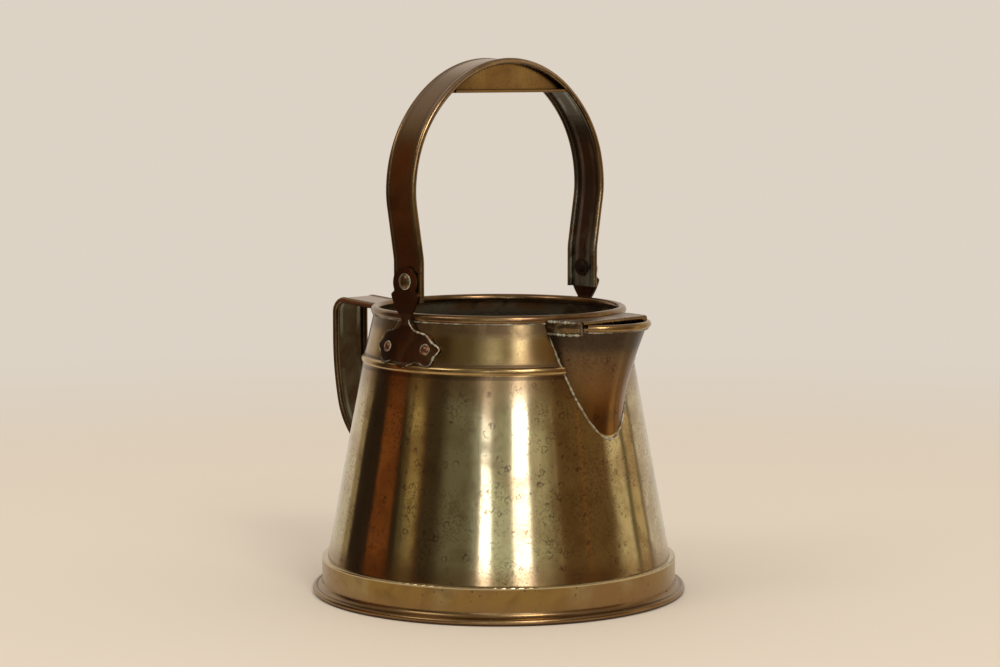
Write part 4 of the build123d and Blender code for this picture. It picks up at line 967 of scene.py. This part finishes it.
# Room: what the metal shows besides the background. Each feature is a soft upright band, laid over the
# ones before it: its turn in degrees, right of the camera, half its width, its softness and its colour,
# and for a window or another feature that ends, the lowest and highest elevation that it reaches
room = {
    "features": {
        "dimRoom": (1, 124, 5, (0.14, 0.112, 0.068)),
        "leftEdge": (-127, 4, 4, (0.36, 0.28, 0.17)),
        "darkDoor": (-112, 11, 2, (0.026, 0.015, 0.009)),
        "woodDoor": (-91, 9.5, 1.5, (0.23, 0.074, 0.018)),
        "darkShelf": (-79, 2.5, 1.5, (0.026, 0.016, 0.009)),
        "paleCurtain": (-66, 6.5, 1.5, (0.60, 0.44, 0.20), 8.6, 9.4),
        "curtainTop": (-71.5, 6.0, 1.5, (0.50, 0.36, 0.15), 10.2, 15.0),
        "curtainFold": (-73, 0.8, 1.0, (0.12, 0.085, 0.04)),
        "deepRoom": (-50, 8, 5, (0.066, 0.046, 0.024)),
        "greenWall": (-29, 7, 12, (0.20, 0.185, 0.130)),
        "leftGlow": (-16, 1.5, 5, (0.36, 0.38, 0.32)),
        "wallBetween": (3, 9, 3, (0.27, 0.25, 0.17)),
        "rightShade": (30, 8, 14, (0.27, 0.205, 0.105)),
        "glowBetween": (3, 10, 5, (0.80, 0.87, 0.74), 7.5, 11.8),
        "rightGlow": (27, 4, 15, (0.62, 0.58, 0.43), 7.5, 11.8),
        "leftWindow": (-9.5, 3.0, 1.0, (7.0, 7.2, 8.2), 8.5, 11.2),
        "rightWindow": (16.5, 4.8, 1.8, (6.0, 6.2, 7.0), 8.5, 13.6),
        "highLeft": (-4, 4, 7, (1.10, 1.25, 1.25), 18.0, 90.0),
        "highRight": (20, 2.0, 7, (4.2, 4.5, 5.0), 18.0, 90.0),
        "brownShelf": (68, 20, 12, (0.19, 0.112, 0.046)),
        "thinPale": (43, 0.5, 1.5, (0.42, 0.31, 0.20)),
        "thinOrange": (65, 0.5, 1.0, (0.32, 0.14, 0.045)),
        "thinRed": (-59.5, 0.5, 0.8, (0.20, 0.085, 0.030)),
        "rightCurtain": (98.5, 7.5, 2.5, (0.80, 0.68, 0.45)),
        "farCurtain": (118, 4, 4, (0.62, 0.48, 0.28)),
    },
    "edgeSoft": 2.0,
    "cameraTurn": -46.97,
    "ceilingFrom": 27.0,
    "ceilingTo": 40.0,
    "ceiling": (0.34, 0.29, 0.23, 1),
    "plainColor": (1.0, 0.96, 0.90, 1),
    "plainStrength": 0.85,
}
world = bpy.data.worlds.new("room")
bpy.context.scene.world = world
world.use_nodes = True
tree = world.node_tree
tree.nodes.clear()
generated = addNode(tree, "TexCoord").outputs["Generated"]
x, y, z = addNode(tree, "SeparateXYZ", {"Vector": generated}).outputs
fromCamera = calc(tree, "SUBTRACT", calc(tree, "DEGREES", calc(tree, "ARCTAN2", y, x)), room["cameraTurn"])
turnRight = calc(tree, "WRAP", fromCamera, 180.0, -180.0)
elevation = calc(tree, "DEGREES", calc(tree, "ARCSINE", z))
roomColor = studio["background"]
for middle, half, soft, color, *reach in room["features"].values():
    limits = {"Low": middle - half, "High": middle + half, "Soft": soft}
    mask = useGroup(tree, bandGroup, {"Value": turnRight, **limits})["Mask"]
    if reach:
        limits = {"Low": reach[0], "High": reach[1], "Soft": room["edgeSoft"]}
        mask = calc(tree, "MULTIPLY", mask, useGroup(tree, bandGroup, {"Value": elevation, **limits})["Mask"])
    roomColor = blend(tree, mask, roomColor, (*color, 1))
overhead = rise(tree, elevation, room["ceilingFrom"], room["ceilingTo"])
roomColor = blend(tree, overhead, roomColor, room["ceiling"])
rays = addNode(tree, "LightPath").outputs
metalRay = calc(tree, "MAXIMUM", rays["Is Glossy Ray"], rays["Is Transmission Ray"])
seenRay = calc(tree, "MAXIMUM", rays["Is Camera Ray"], metalRay)
seenColor = blend(tree, metalRay, studio["background"], roomColor)
seenLight = addNode(tree, "Background", {"Color": seenColor})
plainInputs = {"Color": room["plainColor"], "Strength": room["plainStrength"]}
plainLight = addNode(tree, "Background", plainInputs)
light = addNode(tree, "MixShader", {0: seenRay, 1: plainLight.outputs[0], 2: seenLight.outputs[0]})
addNode(tree, "OutputWorld", {0: light.outputs[0]})

# Soft lamps: the place, size, power and colour of each
lamps = {
    "keyLamp": ((2.2, -0.9, 2.5), 0.9, 28, (1.0, 0.96, 0.90)),
    "fillLamp": ((-0.6, -2.4, 2.6), 1.2, 13, (1.0, 0.97, 0.93)),
}
lampAim = Vector((0, 0, 0.15))
for lampName, (place, size, power, color) in lamps.items():
    lampData = bpy.data.lights.new(lampName, "AREA")
    lampData.size = size
    lampData.energy = power
    lampData.color = color
    lamp = bpy.data.objects.new(lampName, lampData)
    lamp.location = place
    lamp.rotation_euler = (lampAim - Vector(place)).to_track_quat("-Z", "Y").to_euler()
    bpy.context.scene.collection.objects.link(lamp)
print("camera, floor and lights placed")
